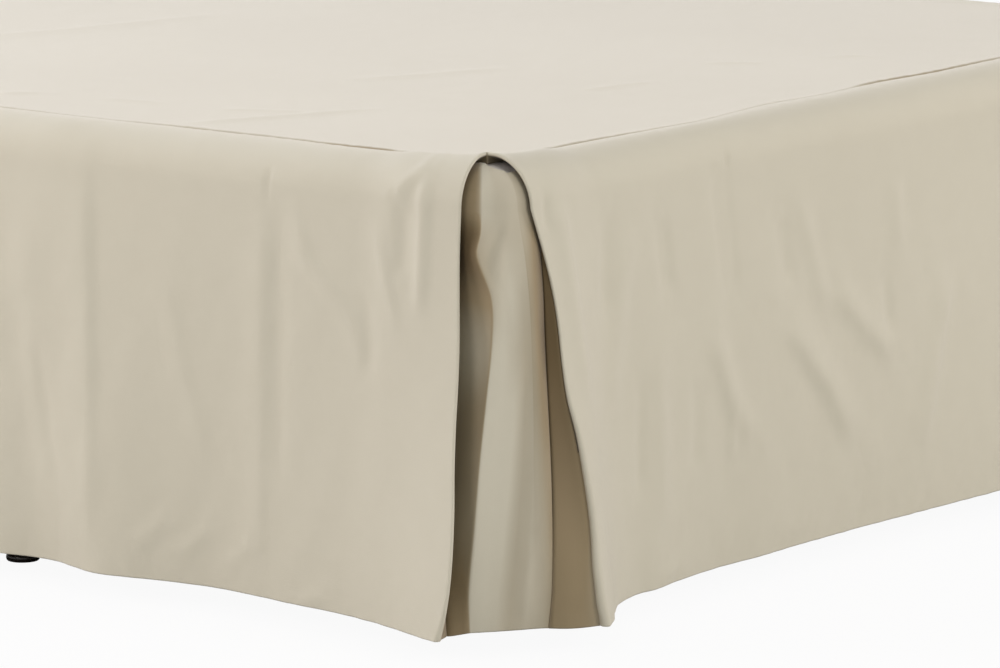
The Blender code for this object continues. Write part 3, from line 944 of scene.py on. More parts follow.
def finish_cloth(made, flat, shade):
    """Gives a sheet its UV map, its painted shade and smooth faces that point outwards."""
    mesh = made.data
    layer = mesh.uv_layers.new(name="cloth")
    values = []
    for loop in mesh.loops:
        values.extend(flat[loop.vertex_index])
    layer.data.foreach_set("uv", values)
    mesh.attributes.new("shade", "FLOAT", "POINT").data.foreach_set("value", shade)
    bm = bmesh.new()
    bm.from_mesh(mesh)
    bmesh.ops.recalc_face_normals(bm, faces=bm.faces)
    bm.to_mesh(mesh)
    bm.free()
    mesh.shade_smooth()


def drop_sheet(skirt, kind, side, row_for):
    """The grid of a drop: its runs at each row, with a fold and a return at its pleated ends."""
    sheet = Sheet()
    for row in skirt.rows():
        start, runs, end = row_for(row)
        # Painted shade along the seam's groove, and on the returns inside the pleat.
        seam_painted_shade = bell(row.from_seam, SEAM_SHADE_WIDTH)
        body = [skirt.drop_place(row, run, kind) for run in runs]
        points = start[::-1] + body + end
        shade = (
            [return_shade(k, row, kind.opened) for k in range(len(start))][::-1]
            + [1.0 - SEAM_SHADE * seam_painted_shade * curve_at(kind.groove, run) for run in runs]
            + [return_shade(k, row, kind.opened) for k in range(len(end))]
        )
        across = [runs[0]]
        for k in range(len(start), 0, -1):
            across.insert(0, across[0] - (points[k] - points[k - 1]).length)
        across += runs[1:]
        way = 1 if runs[-1] > runs[0] else -1
        for k in range(len(start) + len(runs), len(points)):
            across.append(across[-1] + way * (points[k] - points[k - 1]).length)
        flat = [(place, skirt.flat_height(row)) for place in across]
        points = [skirt.place(point, side) for point in points]
        sheet.add_row(points, flat, [skirt.back_distance(row)] * len(points), shade)
    return sheet


def return_shade(k, row, opened):
    """The cloth's painted shade past the folded edge: open at the edge, darker inside the pleat."""
    tone = curve_at(opened, row.level)
    turned = ease_between(k, FOLD_STEPS * SHADE_TURN[0], FOLD_STEPS * SHADE_TURN[1])
    hidden = ease_between(k, FOLD_STEPS + WALL_STEPS, FOLD_STEPS + WALL_STEPS + 2 * RETURN_STEPS)
    return 1.0 - (1.0 - tone) * turned - max(tone - HIDDEN_SHADE, 0.0) * hidden


def side_sheet(skirt, side, seed):
    """A side drop's grid, from the head end to its return behind the pleat."""
    kind = side_kind(seed)
    head = skirt.length - HEAD_HEM
    far = even_runs(SIDE_COARSE_START, head, SIDE_COARSE_STEP)[::-1]
    middle = even_runs(NEAR_END, SIDE_FINE_END, FINE_STEP)[::-1]

    def row_for(row):
        radius = skirt.roll(row, SIDE_ROLL)
        first = skirt.fold_run(row, SIDE_FOLD) + radius
        edge = skirt.drop_place(row, first, kind)
        ahead = (edge - skirt.drop_place(row, first + LAYER, kind)).normalized()
        wall = skirt.insert_point(row, CREST - 1, SIDE_WALL, RETURN_UNDER)
        inner = skirt.insert_point(row, CREST - 2, SIDE_APART, RETURN_UNDER)
        way = [wall, wall.lerp(inner, 0.5), inner]
        end = skirt.fold_and_return(edge, ahead, radius, way, 0.0)
        return [], far + middle + near_runs(first)[::-1], end

    return drop_sheet(skirt, kind, side, row_for)


def foot_sheet(skirt, seed):
    """The foot drop's grid, with a return at both ends."""
    kind = foot_kind(skirt, seed)
    middle = even_runs(NEAR_END, FOOT_FINE_END, FINE_STEP)
    middle += even_runs(FOOT_COARSE_START, skirt.width - NEAR_END, FOOT_COARSE_STEP)

    def mirrored(point):
        return Vector((skirt.width - point.x, point.y, point.z))

    def row_for(row):
        radius = skirt.roll(row, FOOT_ROLL)
        first = skirt.fold_run(row, FOOT_FOLD) + radius
        near = near_runs(first)
        crest = skirt.insert_point(row, FOOT_CREST, FOOT_MEET, RETURN_UNDER)
        bend = skirt.insert_point(row, FOOT_CREST + 1, FOOT_WALL, RETURN_UNDER)
        inner = skirt.insert_point(row, FOOT_CREST + 2, FOOT_APART, RETURN_UNDER)
        past = bend + (inner - bend).normalized() * INSERT_TURNS[FOOT_CREST]
        way = [crest.lerp(bend, FOOT_MEETING), past, inner]
        bulge = curve_at(FOOT_BULGE, row.level)
        ends = []
        for at, further, turn in (
            (first, first + LAYER, lambda point: point),
            (skirt.width - first, skirt.width - first - LAYER, mirrored),
        ):
            edge = skirt.drop_place(row, at, kind)
            ahead = (edge - skirt.drop_place(row, further, kind)).normalized()
            turned = [turn(point) for point in way]
            ends.append(skirt.fold_and_return(edge, ahead, radius, turned, bulge))
        return ends[0], near + middle + [skirt.width - run for run in near[::-1]], ends[1]

    return drop_sheet(skirt, kind, -1, row_for)


def rounded(knots, turns):
    """Points along straight stretches between knots, with each inner knot turned softly."""
    starts, ends = [], []
    for k in range(len(knots) - 1):
        span = knots[k + 1] - knots[k]
        way = span.normalized()
        widest = span.length * WIDEST_TURN
        cut_in = min(turns[k - 1], widest) if k else 0.0
        cut_out = min(turns[k], widest) if k < len(turns) else 0.0
        starts.append(knots[k] + way * cut_in)
        ends.append(knots[k + 1] - way * cut_out)
    points = []
    for k, (start, end) in enumerate(zip(starts, ends)):
        points += [start.lerp(end, i / STRAIGHT_STEPS) for i in range(STRAIGHT_STEPS)]
        if k < len(turns):
            for i in range(TURN_STEPS):
                t = i / TURN_STEPS
                toward = end.lerp(knots[k + 1], t)
                points.append(toward.lerp(knots[k + 1].lerp(starts[k + 1], t), t))
    return points + [ends[-1]]


def column_place(column):
    """A column's place between the insert's knots."""
    return (column + TURN_STEPS / 2) / (STRAIGHT_STEPS + TURN_STEPS)


def lowered(rows, column, drop):
    """A column of points whose upper end is cut lower, and eases back to its place further down."""
    line = [row[column] for row in rows]
    lengths = lengths_along(line)
    k = 0
    found = []
    for length in lengths:
        wanted = length + drop * max(1.0 - length / TOP_REACH, 0.0)
        while k < len(line) - 2 and lengths[k + 1] < wanted:
            k += 1
        share = (wanted - lengths[k]) / (lengths[k + 1] - lengths[k])
        found.append(line[k].lerp(line[k + 1], min(share, 1.0)))
    return found


def insert_sheet(skirt, side, seed):
    """A pleat insert's grid, from its hidden edge by the side to the one by the foot."""
    rows = skirt.rows()
    grid = [
        rounded([skirt.insert_point(row, knot) for knot in range(len(SEAM_PLEAT))], INSERT_TURNS)
        for row in rows
    ]
    places = [column_place(column) for column in range(len(grid[0]))]
    columns = [lowered(grid, k, curve_at(INSERT_TOP, place)) for k, place in enumerate(places)]
    crest = CREST * (STRAIGHT_STEPS + TURN_STEPS) - TURN_STEPS // 2
    tones = [
        [(level, shades[k]) for level, shades in INSERT_SHADE] for k in range(len(SHADE_PLACES))
    ]
    sheet = Sheet()
    for i, row in enumerate(rows):
        line = [column[i] for column in columns]
        lengths = lengths_along(line)
        points = []
        for point, length in zip(line, lengths):
            bump = insert_bump(length - lengths[crest], point.z, row, seed)
            points.append(skirt.place(point + OUTWARD * bump, side))
        # Painted shade across the insert, from INSERT_SHADE.
        tone = list(zip(SHADE_PLACES, (curve_at(column, row.level) for column in tones)))
        shade = [straight_at(tone, place) for place in places]
        flat = [(length, skirt.flat_height(row)) for length in lengths]
        sheet.add_row(points, flat, [skirt.back_distance(row)] * len(points), shade)
    return sheet


def deck_lines(end, fine_end, coarse):
    """Places along one side of the deck: finer where the photo shows it, closest at its edges."""
    lines = list(EDGE_STEPS[:-1])
    lines += even_runs(EDGE_STEPS[-1], fine_end, DECK_FINE_STEP)[:-1]
    lines += even_runs(fine_end, end - EDGE_STEPS[-1], coarse)
    return lines + [end - step for step in EDGE_STEPS[-2::-1]]


def seam_lift(corner_run):
    """How high the drops' seam lies above the base, at a distance from the nearest foot corner."""
    opened = SEAM_LAYER + (LAYER - SEAM_LAYER) * corner_gap(corner_run)
    return SEAM_STANDOFF + fold_layers(corner_run) * opened + apex_lift(corner_run)


def deck_height(skirt, u, v, side, foot):
    """How high the deck's cloth lies above its base, and the seams' painted shade there."""
    far_u = skirt.width - u
    height = DECK_HEIGHT
    shade = 1.0
    groove = 0.0
    for along, off, kind in ((v, u, side), (v, far_u, side), (u, v, foot)):
        corner_run = kind.corner_run(along)
        from_seam = off - seam_inset(kind.seam, along, corner_run)
        if from_seam > DECK_LIFTED:
            continue
        share = curve_at(kind.groove, along)
        groove = max(groove, share * bell(from_seam, GROOVE_WIDTH))
        lift = seam_lift(corner_run) + SEAM_PAD + SEAM_STEP * share - DECK_HEIGHT
        faded = DECK_FADE[1] + DECK_FADE_CORNER * corner_gap(corner_run)
        fade = 1 - ease_between(from_seam, DECK_FADE[0], faded)
        height = max(height, DECK_HEIGHT + lift * fade)
        height += seam_pucker(along, from_seam, DECK_SEED + off)
        # Painted shade along the seams' groove.
        shade = min(shade, 1.0 - SEAM_SHADE * share * bell(from_seam, SEAM_SHADE_WIDTH))
    x = u - skirt.width / 2
    y = v - skirt.length / 2 + SHIFT_Y
    clear = ease_between(min(u, far_u, v) - SEAM_INSET, 0.0, DECK_FREE)
    height += crease_height(DECK_CREASES, x, y) * clear
    height += (DECK_WAVES_LIFT + waves_at(DECK_WAVES, x, y, 0.0)) * clear
    height -= SEAM_DEPTH * groove
    return max(height, DECK_LEAST), shade


def add_deck(skirt, name):
    """The deck's cloth: a wrinkled upper face and a flat underside that lies on the base."""
    side, foot = side_kind(0.0), foot_kind(skirt, 0.0)
    columns = deck_lines(skirt.width, DECK_FINE_ENDS[0], DECK_COARSE_STEPS[0])
    rows = deck_lines(skirt.length - SEAM_INSET, DECK_FINE_ENDS[1], DECK_COARSE_STEPS[1])
    verts, flat, shade = [], [], []
    low = skirt.top + DECK_UNDERSIDE
    end = rows[-1]
    for v in rows:
        left = seam_inset(SIDE_SEAM, v + SEAM_INSET, v + SEAM_INSET)
        for u in columns:
            at_u = left + (skirt.width - 2 * left) * u / skirt.width
            front = seam_inset(FOOT_SEAM, at_u, foot.corner_run(at_u))
            at_v = front + (end - front) * v / end
            rise, painted_dark = deck_height(skirt, at_u, at_v, side, foot)
            verts.append(skirt.place((at_u, at_v, skirt.top + rise), -1))
            flat.append((at_u, at_v))
            shade.append(painted_dark)
    count_u, count_v = len(columns), len(rows)
    faces = []
    for i in range(count_v - 1):
        for j in range(count_u - 1):
            a = i * count_u + j
            faces.append((a, a + 1, a + 1 + count_u, a + count_u))
    loop = [i * count_u + j for i, j in rim_of(count_v, count_u)]
    size = len(loop)
    # The rim's rings carry painted shade, darkest low down by the base.
    for ring, (drop, painted_dark) in enumerate(DECK_RIM):
        for k in loop:
            verts.append(Vector((verts[k].x, verts[k].y, max(verts[k].z - drop, low))))
            flat.append(flat[k])
            shade.append(min(shade[k], painted_dark))
        base = count_u * count_v + ring * size
        above = loop if ring == 0 else range(base - size, base)
        for k in range(size):
            nxt = (k + 1) % size
            faces.append((above[k], base + k, base + nxt, above[nxt]))
    faces.append(tuple(range(base, base + size)))
    made = add_mesh(name, verts, faces)
    finish_cloth(made, flat, shade)
    return made


# Painted shade: the cotton's colour darkened and warmed inside a seam or a pleat, and deep inside
# one.
PAINTED_SHADE = (0.49, 0.405, 0.295)
PAINTED_DEEP_SHADE = (0.165, 0.115, 0.056)

# The threads per metre of the cotton and of the base's cover.
COTTON_THREADS = 1500.0
COVER_THREADS = 900.0


def new_group(name, inputs, outputs):
    """A shader node group with named sockets, and its input and output nodes."""
    tree = bpy.data.node_groups.new(name, "ShaderNodeTree")
    for label, kind, default in inputs:
        socket = tree.interface.new_socket(name=label, in_out="INPUT", socket_type=kind)
        if default is not None:
            socket.default_value = default
    for label, kind in outputs:
        tree.interface.new_socket(name=label, in_out="OUTPUT", socket_type=kind)
    return tree, tree.nodes.new("NodeGroupInput"), tree.nodes.new("NodeGroupOutput")


class Nodes:
    """Adds nodes to a tree and joins them in one call."""

    def __init__(self, tree):
        self.tree = tree

    def add(self, kind, inputs=None, **settings):
        node = self.tree.nodes.new(kind)
        for key, value in settings.items():
            setattr(node, key, value)
        for socket, value in (inputs or {}).items():
            if isinstance(value, bpy.types.NodeSocket):
                self.tree.links.new(value, node.inputs[socket])
            else:
                node.inputs[socket].default_value = value
        return node

    def math(self, operation, a, b=0.0, c=0.0):
        node = self.add("ShaderNodeMath", {0: a, 1: b, 2: c}, operation=operation)
        return node.outputs[0]

    def noise(self, vector, scale, detail=2.0, roughness=0.5):
        node = self.add(
            "ShaderNodeTexNoise",
            {"Vector": vector, "Scale": scale, "Detail": detail, "Roughness": roughness},
        )
        return node.outputs["Fac"]

    def stretch(self, vector, scale):
        node = self.add("ShaderNodeMapping", {"Vector": vector, "Scale": scale})
        return node.outputs["Vector"]

    def mix(self, factor, a, b):
        node = self.add("ShaderNodeMix", {0: factor, 6: a, 7: b}, data_type="RGBA")
        return node.outputs[2]

    def group(self, name, make, inputs):
        """A shader node group that is built once and placed with its own values."""
        tree = bpy.data.node_groups.get(name) or make(name)
        return self.add("ShaderNodeGroup", inputs, node_tree=tree).outputs

    def feed(self, shader, inputs):
        """Joins outputs to a shader's sockets."""
        for socket, output in inputs.items():
            self.tree.links.new(output, shader.inputs[socket])

    def bump(self, height, strength, distance):
        node = self.add(
            "ShaderNodeBump", {"Height": height, "Strength": strength, "Distance": distance}
        )
        return node.outputs[0]


def weave_group(name):
    """Plain weave: threads over and under each other, thick and thin along their length."""
    tree, ins, outs = new_group(
        name,
        (
            ("Vector", "NodeSocketVector", None),
            ("Threads per metre", "NodeSocketFloat", 1500.0),
            ("Slub", "NodeSocketFloat", 0.5),
        ),
        (("Height", "NodeSocketFloat"), ("Tone", "NodeSocketFloat")),
    )
    n = Nodes(tree)
    vector, pitch, slub = ins.outputs[0], ins.outputs[1], ins.outputs[2]
    wander = n.add(
        "ShaderNodeTexNoise", {"Vector": vector, "Scale": 90.0, "Detail": 2.0}
    ).outputs["Color"]
    drift = n.add(
        "ShaderNodeVectorMath", {0: wander, 1: (0.0006, 0.0006, 0.0)}, operation="MULTIPLY"
    ).outputs[0]
    moved = n.add("ShaderNodeVectorMath", {0: vector, 1: drift}, operation="ADD").outputs[0]
    split = n.add("ShaderNodeSeparateXYZ", {0: moved})
    across = n.math("MULTIPLY", n.math("MULTIPLY", split.outputs[0], pitch), math.pi)
    down = n.math("MULTIPLY", n.math("MULTIPLY", split.outputs[1], pitch), math.pi)
    warp = n.math("ABSOLUTE", n.math("SINE", across))
    weft = n.math("ABSOLUTE", n.math("SINE", down))
    over = n.math("MULTIPLY", n.math("COSINE", across), n.math("COSINE", down))
    side = n.math("MULTIPLY_ADD", over, 0.5, 0.5)
    under = n.math("MULTIPLY", weft, n.math("SUBTRACT", 1.0, side))
    height = n.math("ADD", n.math("MULTIPLY", warp, side), under)
    long_warp = n.noise(n.stretch(vector, (900.0, 22.0, 1.0)), 1.0, 2.0)
    long_weft = n.noise(n.stretch(vector, (22.0, 900.0, 1.0)), 1.0, 2.0)
    streak = n.math("ADD", long_warp, long_weft)
    tone = n.math("MULTIPLY", n.math("SUBTRACT", streak, 1.0), slub)
    raised = n.math("ADD", height, n.math("MULTIPLY", tone, 1.4))
    tree.links.new(raised, outs.inputs[0])
    tree.links.new(tone, outs.inputs[1])
    return tree


def drift_group(name):
    """Slow changes of tone over a piece, in two sizes."""
    tree, ins, outs = new_group(
        name,
        (
            ("Vector", "NodeSocketVector", None),
            ("Broad scale", "NodeSocketFloat", 3.0),
            ("Small scale", "NodeSocketFloat", 40.0),
        ),
        (("Tone", "NodeSocketFloat"),),
    )
    n = Nodes(tree)
    broad = n.noise(ins.outputs[0], ins.outputs[1], 3.0)
    small = n.noise(ins.outputs[0], ins.outputs[2], 4.0, 0.6)
    total = n.math("MULTIPLY_ADD", small, 0.35, n.math("MULTIPLY", broad, 0.65))
    tree.links.new(total, outs.inputs[0])
    return tree


def toned(colour, *factors):
    """A colour times one factor or three, as a shader takes it."""
    factors = factors if len(factors) == 3 else factors * 3
    return (*(min(c * f, 1.0) for c, f in zip(colour, factors)), 1.0)


def new_material(name, roughness, metallic=0.0):
    made = bpy.data.materials.new(name)
    made.use_nodes = True
    shader = made.node_tree.nodes["Principled BSDF"]
    shader.inputs["Roughness"].default_value = roughness
    shader.inputs["Metallic"].default_value = metallic
    return made, Nodes(made.node_tree), shader


def cloth_material(name, colour, threads, sheen):
    """Woven cotton: weave, slubs, soft changes of tone, and painted shade inside seams and pleats.
    """
    made, n, shader = new_material(name, 0.88)
    shader.inputs["Sheen Weight"].default_value = sheen
    shader.inputs["Sheen Roughness"].default_value = 0.45
    shader.inputs["Specular IOR Level"].default_value = 0.25
    flat = n.add("ShaderNodeUVMap", uv_map="cloth").outputs[0]
    place = n.add("ShaderNodeTexCoord").outputs["Object"]
    threads_in = {"Vector": flat, "Threads per metre": threads, "Slub": 0.5}
    weave = n.group("Plain weave", weave_group, threads_in)
    drift = n.group("Tone drift", drift_group, {"Vector": place})
    tone = n.mix(drift["Tone"], toned(colour, 0.93, 0.92, 0.90), toned(colour, 1.05))
    streak = n.math("MULTIPLY_ADD", weave["Tone"], 0.22, 0.5)
    tone = n.mix(n.math("MULTIPLY", streak, 0.25), tone, toned(colour, 0.84))
    # The shade attribute paints shade: 1 keeps the cotton, 0 gives the painted shade, -1 the deep
    # one.
    shade = n.add("ShaderNodeAttribute", attribute_name="shade").outputs["Fac"]
    inside, deep_painted_shade = toned(colour, *PAINTED_SHADE), toned(colour, *PAINTED_DEEP_SHADE)
    hidden = n.mix(n.math("ADD", shade, 1.0), deep_painted_shade, inside)
    tone = n.mix(shade, hidden, tone)
    rough = n.math("MULTIPLY_ADD", drift["Tone"], 0.10, 0.83)
    bump = n.bump(weave["Height"], 0.35, 0.0003)
    n.feed(shader, {"Base Color": tone, "Roughness": rough, "Normal": bump})
    return made


def painted_material(name, colour, roughness, metallic, coat):
    """Paint or polish with faint dust and handling marks."""
    made, n, shader = new_material(name, roughness, metallic)
    shader.inputs["Coat Roughness"].default_value = 0.12
    shader.inputs["Coat Weight"].default_value = coat
    place = n.add("ShaderNodeTexCoord").outputs["Object"]
    scales = {"Vector": place, "Broad scale": 18.0, "Small scale": 260.0}
    drift = n.group("Tone drift", drift_group, scales)
    dusty = tuple(min(c * 1.6 + 0.004, 1.0) for c in colour)
    tone = n.mix(drift["Tone"], (*colour, 1.0), (*dusty, 1.0))
    rough = n.math("MULTIPLY_ADD", drift["Tone"], 0.12, roughness - 0.05)
    bump = n.bump(drift["Tone"], 0.1, 0.0004)
    n.feed(shader, {"Base Color": tone, "Roughness": rough, "Normal": bump})
    return made


def material_named(name, make, *values):
    return bpy.data.materials.get(name) or make(name, *values)


def cotton(finish):
    return material_named("Cotton", cloth_material, tuple(finish.cotton), COTTON_THREADS, 0.30)


def dress(piece, node, finish):
    """Gives a piece its finish, hides the node it stands for, and hangs it under the root body."""
    piece.data.materials.clear()
    piece.data.materials.append(finish)
    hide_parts(node)
    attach(piece, "root")


class SkirtSizes(PropertyGroup):
    """The skirt's sizes."""

    width: FloatProperty(
        name="Width",
        description="Width of the bed that the skirt is cut for",
        default=1.4,
        unit="LENGTH",
        subtype="DISTANCE",
    )
    length: FloatProperty(
        name="Length",
        description="Length of the bed that the skirt is cut for",
        default=2.0,
        unit="LENGTH",
        subtype="DISTANCE",
    )
    hem_height: FloatProperty(
        name="Hem height",
        description="How far the hem hangs above the floor",
        default=0.025,
        unit="LENGTH",
        subtype="DISTANCE",
    )
    cloth: FloatProperty(
        name="Cloth",
        description="Thickness of the cotton",
        default=0.0008,
        precision=4,
        unit="LENGTH",
        subtype="DISTANCE",
    )
    hem_cloth: FloatProperty(
        name="Hem cloth",
        description="Thickness of the folded hem",
        default=0.0020,
        precision=4,
        unit="LENGTH",
        subtype="DISTANCE",
    )
    hem_width: FloatProperty(
        name="Hem width",
        description="Width of the folded hem",
        default=0.013,
        unit="LENGTH",
        subtype="DISTANCE",
    )
    edge_radius: FloatProperty(
        name="Edge radius",
        description="Radius of the base's upper edge under the cloth",
        default=0.040,
        unit="LENGTH",
        subtype="DISTANCE",
    )


class SkirtFinish(PropertyGroup):
    """The skirt's and the base's colours."""

    cotton: FloatVectorProperty(
        name="Cotton",
        description="Colour of the skirt's cotton",
        default=(0.589, 0.583, 0.471),
        subtype="COLOR",
        min=0.0,
        max=1.0,
    )
    cover: FloatVectorProperty(
        name="Base cover",
        description="Colour of the base's woven cover",
        default=(0.62, 0.60, 0.55),
        subtype="COLOR",
        min=0.0,
        max=1.0,
    )
    steel: FloatVectorProperty(
        name="Legs",
        description="Colour of the painted legs",
        default=(0.05, 0.046, 0.042),
        subtype="COLOR",
        min=0.0,
        max=1.0,
    )
    glide: FloatVectorProperty(
        name="Glides",
        description="Colour of the glossy glides",
        default=(0.022, 0.017, 0.014),
        subtype="COLOR",
        min=0.0,
        max=1.0,
    )


class BaseSizes(PropertyGroup):
    """The sizes of the base under the skirt."""

    corner_radius: FloatProperty(
        name="Corner radius",
        description="Radius of the base's upright corners",
        default=0.050,
        unit="LENGTH",
        subtype="DISTANCE",
    )
    leg_radius: FloatProperty(
        name="Leg radius",
        description="Radius of the round legs",
        default=(LEG_HIGH.x - LEG_LOW.x) / 2,
        unit="LENGTH",
        subtype="DISTANCE",
    )
    glide_radius: FloatProperty(
        name="Glide radius",
        description="Radius of the glides under the legs",
        default=(GLIDE_HIGH.x - GLIDE_LOW.x) / 2,
        unit="LENGTH",
        subtype="DISTANCE",
    )


def start_piece():
    """Leaves edit mode and deselects all, so that the next operator acts on the new piece alone."""
    if bpy.context.mode != "OBJECT":
        bpy.ops.object.mode_set(mode="OBJECT")
    bpy.ops.object.select_all(action="DESELECT")


def end_piece(name, smooth_angle):
    """Closes a piece modelled by hand: faces outwards, its place in its mesh, smooth soft turns."""
    bpy.ops.mesh.select_all(action="SELECT")
    bpy.ops.mesh.remove_doubles(threshold=0.00001)
    bpy.ops.mesh.normals_make_consistent(inside=False)
    bpy.ops.object.mode_set(mode="OBJECT")
    bpy.ops.object.transform_apply(location=True, rotation=True, scale=True)
    bpy.ops.object.shade_smooth_by_angle(angle=math.radians(smooth_angle))
    made = bpy.context.active_object
    made.name = made.data.name = name
    return made


def select_edges(wanted):
    """Selects the edges of the piece in edit mode that a test picks."""
    bpy.ops.mesh.select_mode(type="EDGE")
    bpy.ops.mesh.select_all(action="DESELECT")
    bm = bmesh.from_edit_mesh(bpy.context.active_object.data)
    for edge in bm.edges:
        if wanted(edge):
            edge.select_set(True)
    bm.select_flush_mode()
    bmesh.update_edit_mesh(bpy.context.active_object.data)


def turned_piece(name, place, profile):
    """A round piece, extruded ring by ring from its profile of (radius, height)."""
    start_piece()
    first, low = profile[0]
    centre = (place.x, place.y, low)
    bpy.ops.mesh.primitive_circle_add(vertices=64, radius=first, fill_type="NGON", location=centre)
    bpy.ops.object.mode_set(mode="EDIT")
    for (radius, height), (wider, higher) in zip(profile, profile[1:]):
        bpy.ops.mesh.extrude_region_move(
            TRANSFORM_OT_translate={"value": (0.0, 0.0, higher - height)}
        )
        ratio = wider / radius
        middle = (place.x, place.y, higher)
        bpy.ops.transform.resize(value=(ratio, ratio, 1.0), center_override=middle)
    return end_piece(name, 35)


class SKIRT_OT_deck(Operator):
    """Adds the deck panel with its creases and its head hem"""

    bl_idname = "skirt.deck"
    bl_label = "Deck Panel"

    def execute(self, context):
        skirt = Skirt(context.scene.skirt_sizes)
        made = add_deck(skirt, "deck_cloth")
        dress(made, "deck", cotton(context.scene.skirt_finish))
        return {"FINISHED"}


class SKIRT_OT_side_drops(Operator):
    """Adds the two side drops, each with its fold and its return at the foot corner"""

    bl_idname = "skirt.side_drops"
    bl_label = "Side Drops"

    def execute(self, context):
        skirt = Skirt(context.scene.skirt_sizes)
        finish = cotton(context.scene.skirt_finish)
        for name, side, seed in (("left", -1, 3.0), ("right", 1, 11.0)):
            sheet = side_sheet(skirt, side, seed)
            out = Vector((side, 0, 0))
            made = add_sheet(f"side_drop_{name}_cloth", sheet, skirt.cloth / 2, out)
            dress(made, f"side_drop_{name}", finish)
        return {"FINISHED"}


class SKIRT_OT_foot_drop(Operator):
    """Adds the foot drop, with a fold and a return at both ends"""

    bl_idname = "skirt.foot_drop"
    bl_label = "Foot Drop"

    def execute(self, context):
        skirt = Skirt(context.scene.skirt_sizes)
        out = Vector((0, -1, 0))
        made = add_sheet("foot_drop_cloth", foot_sheet(skirt, 17.0), skirt.cloth / 2, out)
        dress(made, "foot_drop", cotton(context.scene.skirt_finish))
        return {"FINISHED"}


class SKIRT_OT_pleat_inserts(Operator):
    """Adds the insert behind each corner pleat"""

    bl_idname = "skirt.pleat_inserts"
    bl_label = "Pleat Inserts"

    def execute(self, context):
        skirt = Skirt(context.scene.skirt_sizes)
        finish = cotton(context.scene.skirt_finish)
        for name, side, seed in (("left", -1, 5.0), ("right", 1, 9.0)):
            sheet = insert_sheet(skirt, side, seed)
            out = Vector((side, -1, 0))
            made = add_sheet(f"pleat_insert_{name}_cloth", sheet, skirt.cloth / 2, out)
            dress(made, f"pleat_insert_{name}", finish)
        return {"FINISHED"}


# The radius of the base's lower edge, and how near to a face's height an edge is taken to lie in
# it.
LOWER_EDGE = 0.004
LEVEL_WITHIN = 0.0001


class SKIRT_OT_base(Operator):
    """Adds the bed base in its plain woven cover"""

    bl_idname = "skirt.base"
    bl_label = "Bed Base"

    def execute(self, context):
        sizes = context.scene.base_sizes
        edge_radius = context.scene.skirt_sizes.edge_radius
        start_piece()
        size = BASE_HIGH - BASE_LOW
        middle = (BASE_HIGH + BASE_LOW) / 2
        bpy.ops.mesh.primitive_cube_add(size=1.0, location=middle, scale=size)
        bpy.ops.object.transform_apply(location=False, rotation=False, scale=True)
        bpy.ops.object.mode_set(mode="EDIT")
        half = size.z / 2
        select_edges(lambda e: abs(e.verts[0].co.z - e.verts[1].co.z) > half)
        bpy.ops.mesh.bevel(offset=sizes.corner_radius, segments=16, affect="EDGES")
        select_edges(lambda e: all(v.co.z > half - LEVEL_WITHIN for v in e.verts))
        bpy.ops.mesh.bevel(offset=edge_radius, segments=12, affect="EDGES")
        select_edges(lambda e: all(v.co.z < LEVEL_WITHIN - half for v in e.verts))
        bpy.ops.mesh.bevel(offset=LOWER_EDGE, segments=3, affect="EDGES")
        made = end_piece("base_cover", 40)
        cover = material_named(
            "Base cover", cover_material, tuple(context.scene.skirt_finish.cover)
        )
        dress(made, "bed_base", cover)
        return {"FINISHED"}


def cover_material(name, colour):
    """A heavier plain weave on the base, which no flat pattern follows."""
    made, n, shader = new_material(name, 0.9)
    shader.inputs["Sheen Weight"].default_value = 0.2
    place = n.add("ShaderNodeTexCoord").outputs["Object"]
    split = n.add("ShaderNodeSeparateXYZ", {0: place})
    turned = n.add(
        "ShaderNodeCombineXYZ",
        {
            0: n.math("ADD", split.outputs[0], split.outputs[2]),
            1: n.math("ADD", split.outputs[1], split.outputs[2]),
        },
    )
    threads_in = {"Vector": turned.outputs[0], "Threads per metre": COVER_THREADS, "Slub": 0.8}
    weave = n.group("Plain weave", weave_group, threads_in)
    drift = n.group("Tone drift", drift_group, {"Vector": place})
    tone = n.mix(drift["Tone"], toned(colour, 0.90), toned(colour, 1.0))
    streak = n.math("MULTIPLY_ADD", weave["Tone"], 0.3, 0.15)
    tone = n.mix(streak, tone, toned(colour, 0.8))
    n.feed(shader, {"Base Color": tone, "Normal": n.bump(weave["Height"], 0.5, 0.0005)})
    return made


# The bell of a glide, from the floor up: share of its radius, height. The legs' ends are
# chamfered.
GLIDE_PROFILE = (
    (0.80, 0.0),
    (0.92, 0.0004),
    (0.975, 0.0014),
    (1.00, 0.0032),
    (0.995, 0.0050),
    (0.965, 0.0070),
    (0.90, 0.0088),
    (0.80, 0.0104),
    (0.66, 0.0118),
    (0.52, 0.0128),
    (0.43, 0.0140),
    (0.40, 0.0152),
    (0.40, 0.0160),
)
LEG_CHAMFER = 0.0008


